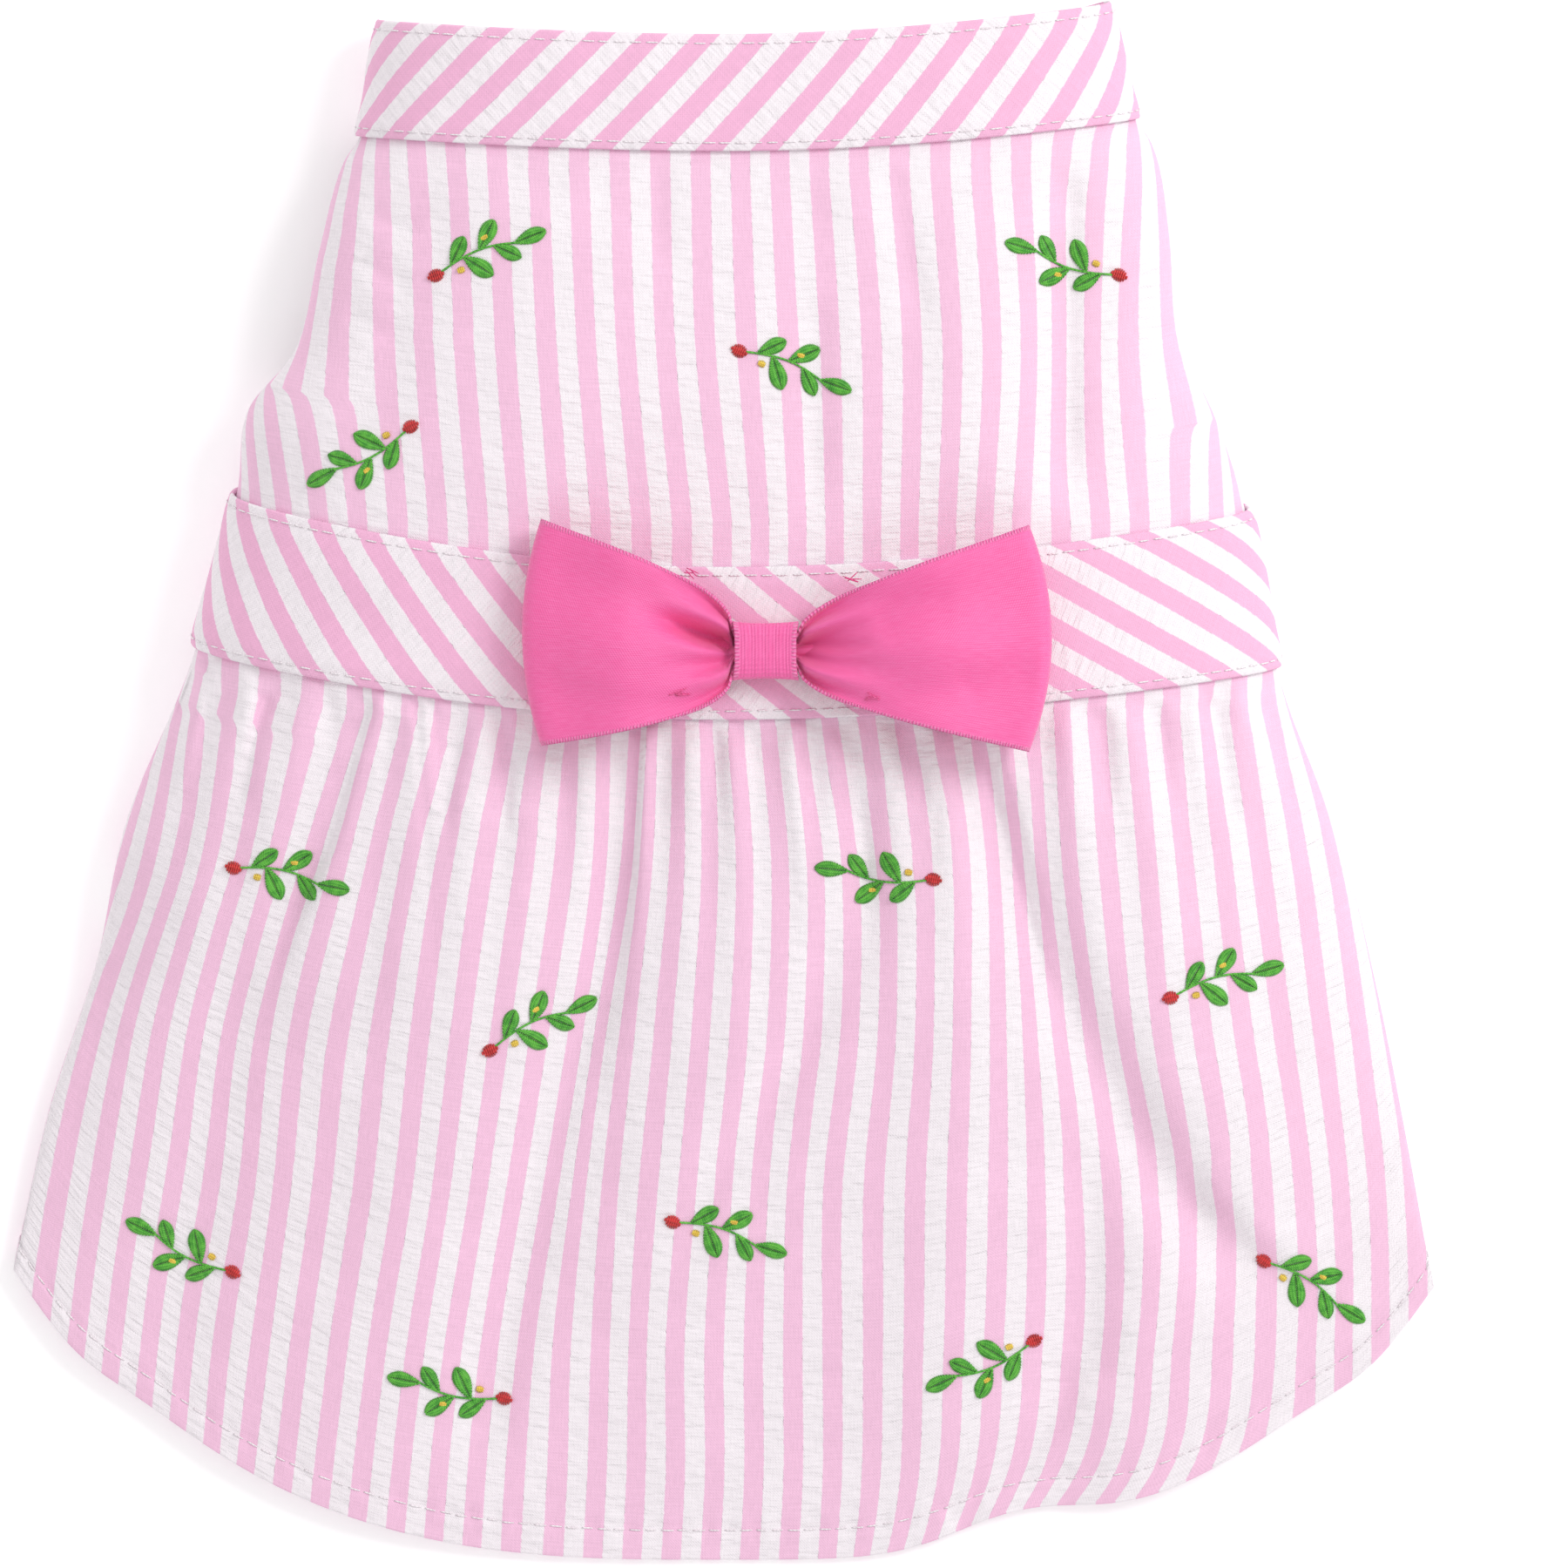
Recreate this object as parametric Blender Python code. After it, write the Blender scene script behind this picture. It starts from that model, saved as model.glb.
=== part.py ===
"""A small dog's dress, closed and lying with its back up.

Metres, +Z up, +Y towards the neck. The origin is on the ground under the middle of the dress.
The body is a flattened tube. A distance d runs down the middle of the back from the neck edge,
and a share a runs round it: 0 in the middle of the back, 1 at the side and 2 in the middle of
the belly, negative on the left. Cloth shapes are worked out as points at pairs of d and a.
"""

from collections import namedtuple
from math import pi

import bpy
import numpy as np

# Lengths down the middle of the back
NECK_BAND = 0.0197
BODICE_LENGTH = 0.0697
WAIST_BAND = 0.0256
SKIRT_LENGTH = 0.1416

# Widths as it lies
NECK_WIDTH = 0.1336
CHEST_WIDTH = 0.1490
WAIST_WIDTH = 0.1848
HIP_WIDTH = 0.2158
HEM_WIDTH = 0.2392

# Heights of the back above the belly
NECK_HEIGHT = 0.0260
CHEST_HEIGHT = 0.0300
WAIST_HEIGHT = 0.0320
HIP_HEIGHT = 0.0210
HEM_HEIGHT = 0.0042

# Radii of the turn at each side. At the chest it is the height of the leg holes' upper edge
NECK_TURN = 0.0060
CHEST_TURN = 0.0110
WAIST_TURN = 0.0070
HIP_TURN = 0.0050
HEM_TURN = 0.0036

# How far each line round the dress rises towards the neck at its sides
NECK_LIFT = 0.0063
CHEST_LIFT = 0.0074
WAIST_LIFT = 0.0129
HIP_LIFT = 0.0294
HEM_LIFT = 0.0500
HEM_DIP = 0.0050
HEM_ROUND = 0.0028

CLOTH = 0.0012
GAP = 0.0004
SEAM_GAP = 0.0012
SIDE_SEAM = 0.0120
HOLE_DEPTH = 0.0240
TUCK = 0.0260
FOLD_DEPTH = 0.0060
FOLD_WIDTH = 0.0100
GATHER_DEPTH = 0.0011
GATHERS = 11

RIBBON = 0.0010
RIBBON_WIDTH = 0.0380
BOW_SHIFT = 0.0071
BOW_DROP = 0.0013
LEFT_LOOP_REACH = 0.0354
RIGHT_LOOP_REACH = 0.0426
LOOP_HEIGHT = 0.0105
LOOP_CREASE = 0.0012
LOOP_TURN = 0.0032
KNOT_LENGTH = 0.0106
KNOT_WIDTH = 0.0097
KNOT_HEIGHT = 0.0064

FASTENER_LENGTH = 0.0260
FASTENER = 0.0012
BAND_SLIT = 0.0030

STARTS = {
    "neck_band": 0.0,
    "bodice": NECK_BAND,
    "waist_band": NECK_BAND + BODICE_LENGTH,
    "skirt": NECK_BAND + BODICE_LENGTH + WAIST_BAND,
}
LENGTHS = {
    "neck_band": NECK_BAND,
    "bodice": BODICE_LENGTH,
    "waist_band": WAIST_BAND,
    "skirt": SKIRT_LENGTH,
}
BACK_LENGTH = sum(LENGTHS.values())
BAND_CLEARANCE = CLOTH + GAP

Girth = namedtuple("Girth", "width height turn lift")
GIRTHS = {
    "neck": Girth(NECK_WIDTH, NECK_HEIGHT, NECK_TURN, NECK_LIFT),
    "chest": Girth(CHEST_WIDTH, CHEST_HEIGHT, CHEST_TURN, CHEST_LIFT),
    "waist": Girth(WAIST_WIDTH, WAIST_HEIGHT, WAIST_TURN, WAIST_LIFT),
    "hip": Girth(HIP_WIDTH, HIP_HEIGHT, HIP_TURN, HIP_LIFT),
    "hem": Girth(HEM_WIDTH, HEM_HEIGHT, HEM_TURN, HEM_LIFT),
}

# Sections down the dress. "along" is a share of the part's length, left and right of half the
# girth's width, the lifts of its lift, height and turn of its own. "curl" bends the line into
# the rounded hem, "clear" holds the belly off the ground over a band, and "hole" opens the legs.
Section = namedtuple(
    "Section",
    "part along girth left right lift_left lift_right lift_under curl height turn clear hole",
)
SECTIONS = (
    Section("neck_band", 0.00, "neck", 0.858, 0.961, 0.49, 0.98, -0.30, 0.0, 0.92, 1.00, 1.0, 0.0),
    Section("neck_band", 1.00, "neck", 0.915, 1.037, 0.51, 1.00, 0.10, 0.0, 1.00, 1.05, 1.0, 0.0),
    Section("bodice", 0.07, "chest", 0.857, 0.968, 0.50, 0.89, 0.20, 0.0, 0.90, 0.70, 1.0, 1.0),
    Section("bodice", 0.30, "chest", 0.911, 1.007, 0.70, 1.00, 0.60, 0.0, 0.97, 1.00, 1.0, 1.0),
    Section("bodice", 0.57, "chest", 0.968, 1.031, 0.89, 1.10, 1.00, 0.0, 1.02, 1.00, 1.0, 1.0),
    Section("bodice", 0.76, "chest", 1.076, 1.110, 1.29, 1.19, 1.60, 0.0, 1.04, 0.75, 1.0, 0.0),
    Section("waist_band", 0.00, "waist", 0.886, 0.949, 1.00, 0.80, 1.20, 0.0, 1.00, 1.00, 1.0, 0.0),
    Section("waist_band", 1.00, "waist", 0.959, 1.007, 1.00, 0.72, 1.20, 0.0, 1.00, 1.00, 1.0, 0.0),
    Section("skirt", 0.25, "hip", 0.930, 0.960, 0.65, 0.55, 1.00, 0.4, 1.38, 1.20, 0.0, 0.0),
    Section("skirt", 0.50, "hip", 0.981, 1.019, 1.00, 0.90, 1.50, 0.7, 1.00, 1.00, 0.0, 0.0),
    Section("skirt", 0.75, "hip", 1.056, 1.066, 1.35, 1.25, 2.00, 0.9, 0.58, 0.85, 0.0, 0.0),
    Section("skirt", 1.00, "hem", 1.000, 1.000, 1.00, 0.94, 1.50, 1.0, 1.00, 1.00, 0.0, 0.0),
)

# Long folds, each a bent line down a part. x is a share of half the hem's width and d of the
# part's length. A negative depth is a valley.
Fold = namedtuple("Fold", "name x0 d0 x1 d1 x2 d2 depth width")
BODICE_FOLDS = (
    Fold("left_ripple", -0.40, 0.10, -0.46, 0.35, -0.50, 0.80, -0.16, 0.60),
    Fold("left_swell", -0.20, 0.10, -0.26, 0.45, -0.30, 0.90, 0.14, 1.20),
    Fold("middle_ripple", 0.12, 0.05, 0.13, 0.40, 0.12, 0.85, -0.12, 0.60),
    Fold("right_ripple", 0.50, 0.05, 0.47, 0.40, 0.50, 0.90, -0.22, 0.65),
    Fold("right_swell", 0.36, 0.10, 0.34, 0.45, 0.36, 0.90, 0.16, 0.90),
)
SKIRT_FOLDS = (
    Fold("left_crease", -0.50, -0.03, -0.52, 0.14, -0.72, 0.36, -0.45, 0.50),
    Fold("left_roll", -0.33, 0.05, -0.40, 0.40, -0.52, 0.95, 0.45, 1.30),
    Fold("middle_valley", -0.12, 0.02, -0.12, 0.30, -0.30, 0.82, -0.80, 0.75),
    Fold("middle_roll", 0.06, 0.03, 0.02, 0.35, -0.10, 0.95, 0.40, 1.10),
    Fold("slanting_valley", 0.20, 0.06, 0.23, 0.26, -0.06, 0.68, -0.50, 0.55),
    Fold("right_roll", 0.30, 0.05, 0.36, 0.45, 0.28, 0.90, 0.45, 1.00),
    Fold("right_crease", 0.37, 0.03, 0.43, 0.33, 0.74, 0.68, -0.95, 0.55),
    Fold("right_side_roll", 0.55, 0.05, 0.66, 0.35, 0.80, 0.60, 0.30, 0.90),
    Fold("hem_tuck", 0.52, 0.46, 0.55, 0.72, 0.42, 1.00, -0.60, 0.75),
    Fold("left_side_valley", -0.66, 0.30, -0.72, 0.55, -0.80, 0.80, -0.35, 0.80),
)

# Half loops of the bow. Reach runs from the knot to the outer end, rise lifts that end towards
# the neck as a share of the ribbon's width, and flare sets how soon the ribbon opens out.
Loop = namedtuple("Loop", "name side reach rise flare")
LOOPS = (
    Loop("bow_loop_left", -1, LEFT_LOOP_REACH, 0.082, 0.42),
    Loop("bow_loop_right", 1, RIGHT_LOOP_REACH, 0.055, 0.55),
)

# name: (red, green, blue), roughness
FINISHES = {
    "seersucker": ((0.94, 0.72, 0.83), 0.85),
    "bias_seersucker": ((0.95, 0.74, 0.85), 0.85),
    "satin_ribbon": ((1.00, 0.15, 0.45), 0.35),
    "hook_and_loop": ((0.90, 0.90, 0.90), 0.90),
}


def clear_scene():
    for thing in list(bpy.data.objects):
        bpy.data.objects.remove(thing, do_unlink=True)


def smooth(value):
    value = np.clip(value, 0.0, 1.0)
    return value * value * (3.0 - 2.0 * value)


def distance_of(part, along):
    return STARTS[part] + along * LENGTHS[part]


def section_values():
    """Each column of SECTIONS in metres, as arrays that run with the distance d."""
    columns = {"d": [distance_of(row.part, row.along) for row in SECTIONS]}
    columns["left"] = [GIRTHS[row.girth].width / 2 * row.left for row in SECTIONS]
    columns["right"] = [GIRTHS[row.girth].width / 2 * row.right for row in SECTIONS]
    columns["height"] = [GIRTHS[row.girth].height * row.height for row in SECTIONS]
    columns["turn"] = [GIRTHS[row.girth].turn * row.turn for row in SECTIONS]
    for lift in ("lift_left", "lift_right", "lift_under"):
        columns[lift] = [GIRTHS[row.girth].lift * getattr(row, lift) for row in SECTIONS]
    for share in ("curl", "clear", "hole"):
        columns[share] = [getattr(row, share) for row in SECTIONS]
    return {name: np.array(values) for name, values in columns.items()}


VALUES = section_values()


def value_at(name, d):
    """A column of the sections at distance d, on a smooth curve that never overshoots them."""
    knots, heights = VALUES["d"], VALUES[name]
    steps = np.diff(knots)
    rises = np.diff(heights) / steps
    slopes = np.concatenate([rises[:1], (rises[:-1] + rises[1:]) / 2, rises[-1:]])
    slopes[1:-1][rises[:-1] * rises[1:] <= 0] = 0.0
    limit = 3 * np.minimum(np.abs(np.append(rises[0], rises)), np.abs(np.append(rises, rises[-1])))
    slopes = np.clip(slopes, -limit, limit)
    i = int(np.clip(np.searchsorted(knots, d) - 1, 0, len(steps) - 1))
    t = (d - knots[i]) / steps[i]
    blend = np.array([(1 + 2 * t) * (1 - t) ** 2, t * (1 - t) ** 2, t * t * (3 - 2 * t), t * t * (t - 1)])
    ends = np.array([heights[i], slopes[i] * steps[i], heights[i + 1], slopes[i + 1] * steps[i]])
    return float(blend @ ends)


def under_length(half, turn):
    """Length from the side round under the dress to the middle of the belly."""
    return half - turn + turn * pi / 2


def half_section(half, height, turn, floor):
    """Points (x, z) from the middle of the back to the side, and from there to the belly."""
    u = np.sin(np.linspace(0, pi / 2, 60))
    back = np.stack([half * u, floor + turn + (height - turn) * np.sqrt(1 - u**3)], axis=1)
    angle = np.linspace(0, pi / 2, 16)
    bend = np.stack([half - turn * (1 - np.cos(angle)), floor + turn * (1 - np.sin(angle))], axis=1)
    return back, np.vstack([bend, [[0.0, floor]]])


def along_path(path, share):
    lengths = np.concatenate([[0], np.cumsum(np.linalg.norm(np.diff(path, axis=0), axis=1))])
    at = share * lengths[-1]
    return np.stack([np.interp(at, lengths, path[:, k]) for k in (0, 1)], axis=-1)


def line_lift(d, a):
    """How far the line round the dress at distance d has risen towards the neck at a."""
    side = np.where(a < 0, value_at("lift_left", d), value_at("lift_right", d))
    mean = (value_at("lift_left", d) + value_at("lift_right", d)) / 2
    curl = value_at("curl", d)
    size = np.abs(a)
    under = smooth(size - 1)
    ring = (side + (mean - side) * under) * (1 - np.cos(pi / 2 * np.minimum(size, 2)))
    ring = ring + (value_at("lift_under", d) - 2 * mean) * under
    dip = HEM_DIP * np.exp(-(((a - 0.42) / 0.13) ** 2)) * curl**6
    corner = HEM_ROUND * np.exp(-(((size - 0.92) / 0.08) ** 2)) * curl**6
    return (1 - curl) * ring + curl * side * size**3 + dip - corner


NECK_Y = (BACK_LENGTH - float(line_lift(0.0, np.linspace(1.0, 1.5, 51)).max())) / 2


def ring_points(d, shares, offset=0.0):
    """Points of the line round the dress at distance d, its surface moved out by offset."""
    shares = np.asarray(shares, float)
    floor = BAND_CLEARANCE * value_at("clear", d) - offset
    height = value_at("height", d) + 2 * offset
    turn = value_at("turn", d) + offset
    points = np.zeros((len(shares), 3))
    for sign, side in ((-1, "left"), (1, "right")):
        half = value_at(side, d) + offset
        back, belly = half_section(half, height, turn, floor)
        size = np.abs(shares)
        flat = np.where(
            (size <= 1)[:, None],
            along_path(back, np.minimum(size, 1)),
            along_path(belly, np.clip(size - 1, 0, 1)),
        )
        mine = (shares < 0) == (sign < 0)
        points[mine, 0] = sign * flat[mine, 0]
        points[mine, 2] = flat[mine, 1]
    points[:, 1] = NECK_Y - d + line_lift(d, shares)
    return points


def bent_line(fold, part):
    """The points of a fold's bent line in plan."""
    t = np.linspace(0, 1, 16)[:, None]
    weights = np.hstack([(1 - t) ** 2, 2 * t * (1 - t), t**2])
    x = weights @ np.array([fold.x0, fold.x1, fold.x2]) * HEM_WIDTH / 2
    d = weights @ np.array([fold.d0, fold.d1, fold.d2]) * LENGTHS[part]
    return x, NECK_Y - STARTS[part] - d


def fold_height(folds, part, x, y):
    """Height that a part's long folds add at plan places x, y."""
    total = np.zeros(len(x))
    for fold in folds:
        line_x, line_y = bent_line(fold, part)
        away = np.hypot(x[:, None] - line_x, y[:, None] - line_y)
        nearest = away.argmin(axis=1) / (len(line_x) - 1)
        fade = smooth(nearest * 5 + 0.25) * smooth((1 - nearest) * 4 + 0.3)
        spread = away.min(axis=1) / (fold.width * FOLD_WIDTH)
        total += fold.depth * FOLD_DEPTH * np.exp(-(spread**2)) * fade
    return total


def gather_height(d, shares):
    """Height of the gathers, deepest just below the waistband."""
    below = (d - STARTS["skirt"]) / SKIRT_LENGTH
    strength = smooth(below / 0.03) * np.exp(-below / 0.16)
    return GATHER_DEPTH * strength * np.sin(2 * pi * GATHERS * shares + 2.0 * np.sin(5 * shares))


def bodice_line(d, shares):
    points = ring_points(d, shares)
    down = (d - STARTS["bodice"]) / BODICE_LENGTH
    free = smooth(down / 0.12) * smooth((1 - down) / 0.12) * smooth((1.0 - np.abs(shares)) / 0.12)
    points[:, 2] += free * fold_height(BODICE_FOLDS, "bodice", points[:, 0], points[:, 1])
    return points


def skirt_line(d, shares):
    points = ring_points(d, shares)
    below = (d - STARTS["skirt"]) / SKIRT_LENGTH
    on_back = smooth((1.0 - np.abs(shares)) / 0.12)
    started = smooth(below / 0.05)
    raised = points[:, 2] + on_back * started * (
        fold_height(SKIRT_FOLDS, "skirt", points[:, 0], points[:, 1]) + gather_height(d, shares)
    )
    settle = (HEM_HEIGHT - CLOTH) * smooth(1 - np.abs(shares) / 0.7) * value_at("curl", d) ** 4
    over_tuck = smooth((np.abs(shares) - 0.60) / 0.10)
    least = CLOTH + (CLOTH + GAP) * over_tuck
    on_top = np.abs(shares) < 0.97
    points[:, 2] = np.where(on_top, np.maximum(raised - settle, least), points[:, 2])
    return points


def sheet_mesh(name, rows, finish, wall, outward_up):
    """A closed wall of cloth, its outer face through the points of the rows."""
    rows = np.array(rows)
    count, width = rows.shape[:2]
    faces = []
    for i in range(count - 1):
        for j in range(width - 1):
            corner = i * width + j
            face = (corner, corner + width, corner + width + 1, corner + 1)
            faces.append(face if outward_up else face[::-1])
    mesh = bpy.data.meshes.new(name)
    mesh.from_pydata(rows.reshape(-1, 3).tolist(), [], faces)
    mesh.materials.append(finish)
    mesh.shade_smooth()
    thing = bpy.data.objects.new(name, mesh)
    bpy.context.scene.collection.objects.link(thing)
    thicken = thing.modifiers.new("Wall", "SOLIDIFY")
    thicken.thickness = wall
    thicken.offset = -1
    return thing


def round_shares(end, back_steps, belly_step):
    """Shares from -end to end, closest together at the sides. Below 1 the end lies on the back."""
    back = np.sin(np.linspace(0, pi / 2, back_steps + 1)) * min(end, 1.0)
    if end > 1:
        turn = 1 + np.array([0.03, 0.06, 0.10, 0.14])
        flat_start = min(turn[-1], end)
        flat = np.linspace(flat_start, end, max(2, int((end - flat_start) / belly_step) + 2))
        back = np.concatenate([back, turn[turn < flat_start - 1e-6], flat])
    return np.concatenate([-back[:0:-1], back])


def add_neck_band(finish):
    """The bias band round the neck, slit under the neck for its fastener."""
    rows = []
    for d in np.linspace(0, NECK_BAND, 4):
        half = value_at("left", d)
        end = 2 - BAND_SLIT / 2 / under_length(half, value_at("turn", d))
        rows.append(ring_points(d, round_shares(end, 13, 0.16), BAND_CLEARANCE))
    return sheet_mesh("neck_band", rows, finish, CLOTH, True)


def add_waist_band(finish):
    """The bias band round the waist, over the seam of bodice and skirt."""
    rows = []
    for d in np.linspace(STARTS["waist_band"], STARTS["skirt"], 5):
        half = value_at("left", d)
        end = 2 - BAND_SLIT / 2 / under_length(half, value_at("turn", d))
        rows.append(ring_points(d, round_shares(end, 15, 0.16), BAND_CLEARANCE))
    return sheet_mesh("waist_band", rows, finish, CLOTH, True)


def bodice_distances():
    """Rows of the bodice, from inside the neck band to inside the waistband."""
    first = distance_of("neck_band", 0.55)
    last = distance_of("waist_band", 0.46)
    under_band = NECK_BAND + 0.012 * BODICE_LENGTH
    shares = (0.07, 0.18, 0.30, 0.42, 0.52, 0.60, 0.66, 0.71, 0.76, 0.88, 1.0)
    between = [distance_of("bodice", share) for share in shares]
    return [first, under_band, *between, distance_of("waist_band", 0.23), last]


def seam_shares(d):
    """Where the back panel ends and the chest panel starts, as shares round the dress."""
    half = min(value_at("left", d), value_at("right", d))
    length = under_length(half, value_at("turn", d))
    hole = value_at("hole", d) if d > STARTS["bodice"] else 0.0
    back_edge = 1 + SIDE_SEAM / length * (1 - hole)
    chest_edge = 1 + (SIDE_SEAM + SEAM_GAP + HOLE_DEPTH * hole) / length
    return back_edge, chest_edge


def add_back_panel(finish):
    """The bodice's back. Its side edges at the chest are the upper edges of the leg holes."""
    rows = []
    for d in bodice_distances():
        back_edge = seam_shares(d)[0]
        back = np.sin(np.linspace(0, pi / 2, 14))
        turn = 1 + (back_edge - 1) * np.array([0.25, 0.5, 0.75, 1.0])
        turn = np.maximum(turn, 1 + 0.002 * np.arange(1, 5))
        half = np.concatenate([back, turn])
        rows.append(bodice_line(d, np.concatenate([-half[:0:-1], half])))
    return sheet_mesh("back_panel", rows, finish, CLOTH, True)


def add_chest_panel(finish):
    """The bodice's underside, narrow between the leg holes."""
    rows = []
    for d in bodice_distances():
        chest_edge = seam_shares(d)[1]
        away = np.linspace(-1, 1, 17)
        size = 2 - np.abs(away) * (2 - chest_edge)
        rows.append(ring_points(d, np.where(away < 0, -size, size)))
    return sheet_mesh("chest_panel", rows, finish, CLOTH, False)


def add_skirt(finish):
    """The gathered skirt over the back and sides, its ends tucked under it."""
    rows = []
    first = (distance_of("waist_band", 0.54), distance_of("waist_band", 0.78))
    shares = np.concatenate([[0.0, 0.03, 0.07, 0.12], np.linspace(0.18, 1.0, 15)])
    for d in (*first, *(distance_of("skirt", share) for share in shares)):
        half = min(value_at("left", d), value_at("right", d))
        length = under_length(half, value_at("turn", d))
        back = np.concatenate([np.linspace(0, 0.90, 23), [0.94, 0.97, 0.99, 1.0]])
        turn = 1 + TUCK / length * np.array([0.12, 0.24, 0.38, 0.6, 1.0])
        half_shares = np.concatenate([back, turn])
        rows.append(skirt_line(d, np.concatenate([-half_shares[:0:-1], half_shares])))
    return sheet_mesh("skirt", rows, finish, CLOTH, True)


def bow_place():
    """The ground point under the knot and the height that the bow sits at."""
    d = distance_of("waist_band", 0.5)
    top = BAND_CLEARANCE + value_at("height", d) + BAND_CLEARANCE
    return BOW_SHIFT, NECK_Y - d - BOW_DROP, top + GAP


def loop_points(loop, width_steps):
    """Rows of ribbon from the knot out along the bottom, round the end and back over the top."""
    x0, y0, z0 = bow_place()
    neck_half = KNOT_WIDTH / 2 - RIBBON - 4 * GAP
    low_neck = z0 + RIBBON + GAP
    high_neck = z0 + KNOT_HEIGHT - RIBBON - GAP
    out = np.array([0.0, 0.06, 0.16, 0.32, 0.52, 0.76, 1.0])
    low = [(-1, low_neck)] + [(r, low_neck - (RIBBON + GAP) * smooth(r * 2)) for r in out[:-1]]
    bend = [
        (1 + LOOP_TURN / loop.reach * (np.sin(angle) - 1), low[-1][1] + LOOP_TURN * (1 - np.cos(angle)))
        for angle in np.linspace(0.35, pi - 0.35, 6)
    ]
    high = []
    for r in out[-2::-1]:
        from_neck = high_neck + (z0 + LOOP_HEIGHT - high_neck) * np.sin(pi / 2 * min(r / 0.55, 1.0)) ** 1.2
        to_end = smooth((r - 0.5) / 0.5)
        high.append((r, from_neck + (bend[-1][1] - from_neck) * to_end))
    high.append((-1, high_neck))
    across = np.linspace(-1, 1, width_steps)
    rows = []
    for r, z in low + bend + high:
        inside = r < 0
        share = max(r, 0.0)
        half = neck_half + (RIBBON_WIDTH / 2 - neck_half) * share**loop.flare
        reach = -KNOT_LENGTH / 2 + GAP if inside else share * loop.reach
        bulge = loop.reach * 0.12 * share**3 * across**2
        x = x0 + loop.side * (KNOT_LENGTH / 2 + reach - bulge)
        y = y0 + loop.rise * RIBBON_WIDTH * share + half * across
        on_top = smooth((z - low_neck) / (LOOP_HEIGHT - RIBBON))
        crease = LOOP_CREASE * on_top * share * (1 - share) * 4 * np.cos(2 * pi * across)
        rows.append(np.stack([x, y, z + crease + 0 * across], axis=1))
    return rows


def add_loop(loop, finish):
    rows = loop_points(loop, 11)
    return sheet_mesh(loop.name, rows, finish, RIBBON, loop.side < 0)


def add_knot(finish):
    """A short flat tube of ribbon round the necks of both loops."""
    x0, y0, z0 = bow_place()
    angles = np.linspace(0, 2 * pi, 25)[:-1]
    square = 0.62
    y = np.sign(np.cos(angles)) * np.abs(np.cos(angles)) ** square * KNOT_WIDTH / 2
    z = np.sign(np.sin(angles)) * np.abs(np.sin(angles)) ** square * KNOT_HEIGHT / 2
    centre = z0 + KNOT_HEIGHT / 2
    rows = []
    for share in (-1.0, -0.6, 0.0, 0.6, 1.0):
        x = x0 + share * KNOT_LENGTH / 2
        rows.append([(x, y0 + py, centre + pz) for py, pz in zip(y, z)])
    count = len(angles)
    points = [point for row in rows for point in row]
    faces = []
    for i in range(len(rows) - 1):
        for j in range(count):
            after = (j + 1) % count
            faces.append((i * count + j, i * count + after, (i + 1) * count + after, (i + 1) * count + j))
    mesh = bpy.data.meshes.new("bow_knot")
    mesh.from_pydata(points, [], faces)
    mesh.materials.append(finish)
    mesh.shade_smooth()
    thing = bpy.data.objects.new("bow_knot", mesh)
    bpy.context.scene.collection.objects.link(thing)
    thicken = thing.modifiers.new("Wall", "SOLIDIFY")
    thicken.thickness = RIBBON
    thicken.offset = -1
    return thing


def add_fastener(name, part, first, last, finish):
    """A plain hook-and-loop strip inside a band, across the slit under the belly."""
    near = ring_points(distance_of(part, first), [2.0])[0]
    far = ring_points(distance_of(part, last), [2.0])[0]
    bpy.ops.mesh.primitive_cube_add(size=1)
    thing = bpy.context.active_object
    thing.name = name
    thing.data.name = name
    thing.scale = (FASTENER_LENGTH, near[1] - far[1], FASTENER)
    thing.location = (0, (near[1] + far[1]) / 2, BAND_CLEARANCE + FASTENER / 2)
    bpy.ops.object.transform_apply(location=False, rotation=False, scale=True)
    thing.data.materials.append(finish)
    return thing


def make_finish(name):
    colour, roughness = FINISHES[name]
    finish = bpy.data.materials.new(name)
    finish.use_nodes = True
    shader = finish.node_tree.nodes["Principled BSDF"]
    shader.inputs["Base Color"].default_value = (*colour, 1)
    shader.inputs["Roughness"].default_value = roughness
    shader.inputs["Metallic"].default_value = 0.0
    return finish


def build():
    clear_scene()
    finishes = {name: make_finish(name) for name in FINISHES}
    add_neck_band(finishes["bias_seersucker"])
    add_back_panel(finishes["seersucker"])
    add_chest_panel(finishes["seersucker"])
    add_waist_band(finishes["bias_seersucker"])
    add_skirt(finishes["seersucker"])
    for loop in LOOPS:
        add_loop(loop, finishes["satin_ribbon"])
    add_knot(finishes["satin_ribbon"])
    add_fastener("neck_fastener", "neck_band", 0.08, 0.48, finishes["hook_and_loop"])
    add_fastener("belly_fastener", "waist_band", 0.52, 0.92, finishes["hook_and_loop"])


build()
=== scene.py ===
# Looks for a small dog's dress of puckered striped cotton with a ribbon bow, lying back up.
# Metres, +Z up, +Y towards the neck. Places marked as photo places are pixels of the 1800 photo.
import math

import bpy
import numpy as np
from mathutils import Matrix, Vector
from mathutils.bvhtree import BVHTree


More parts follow.
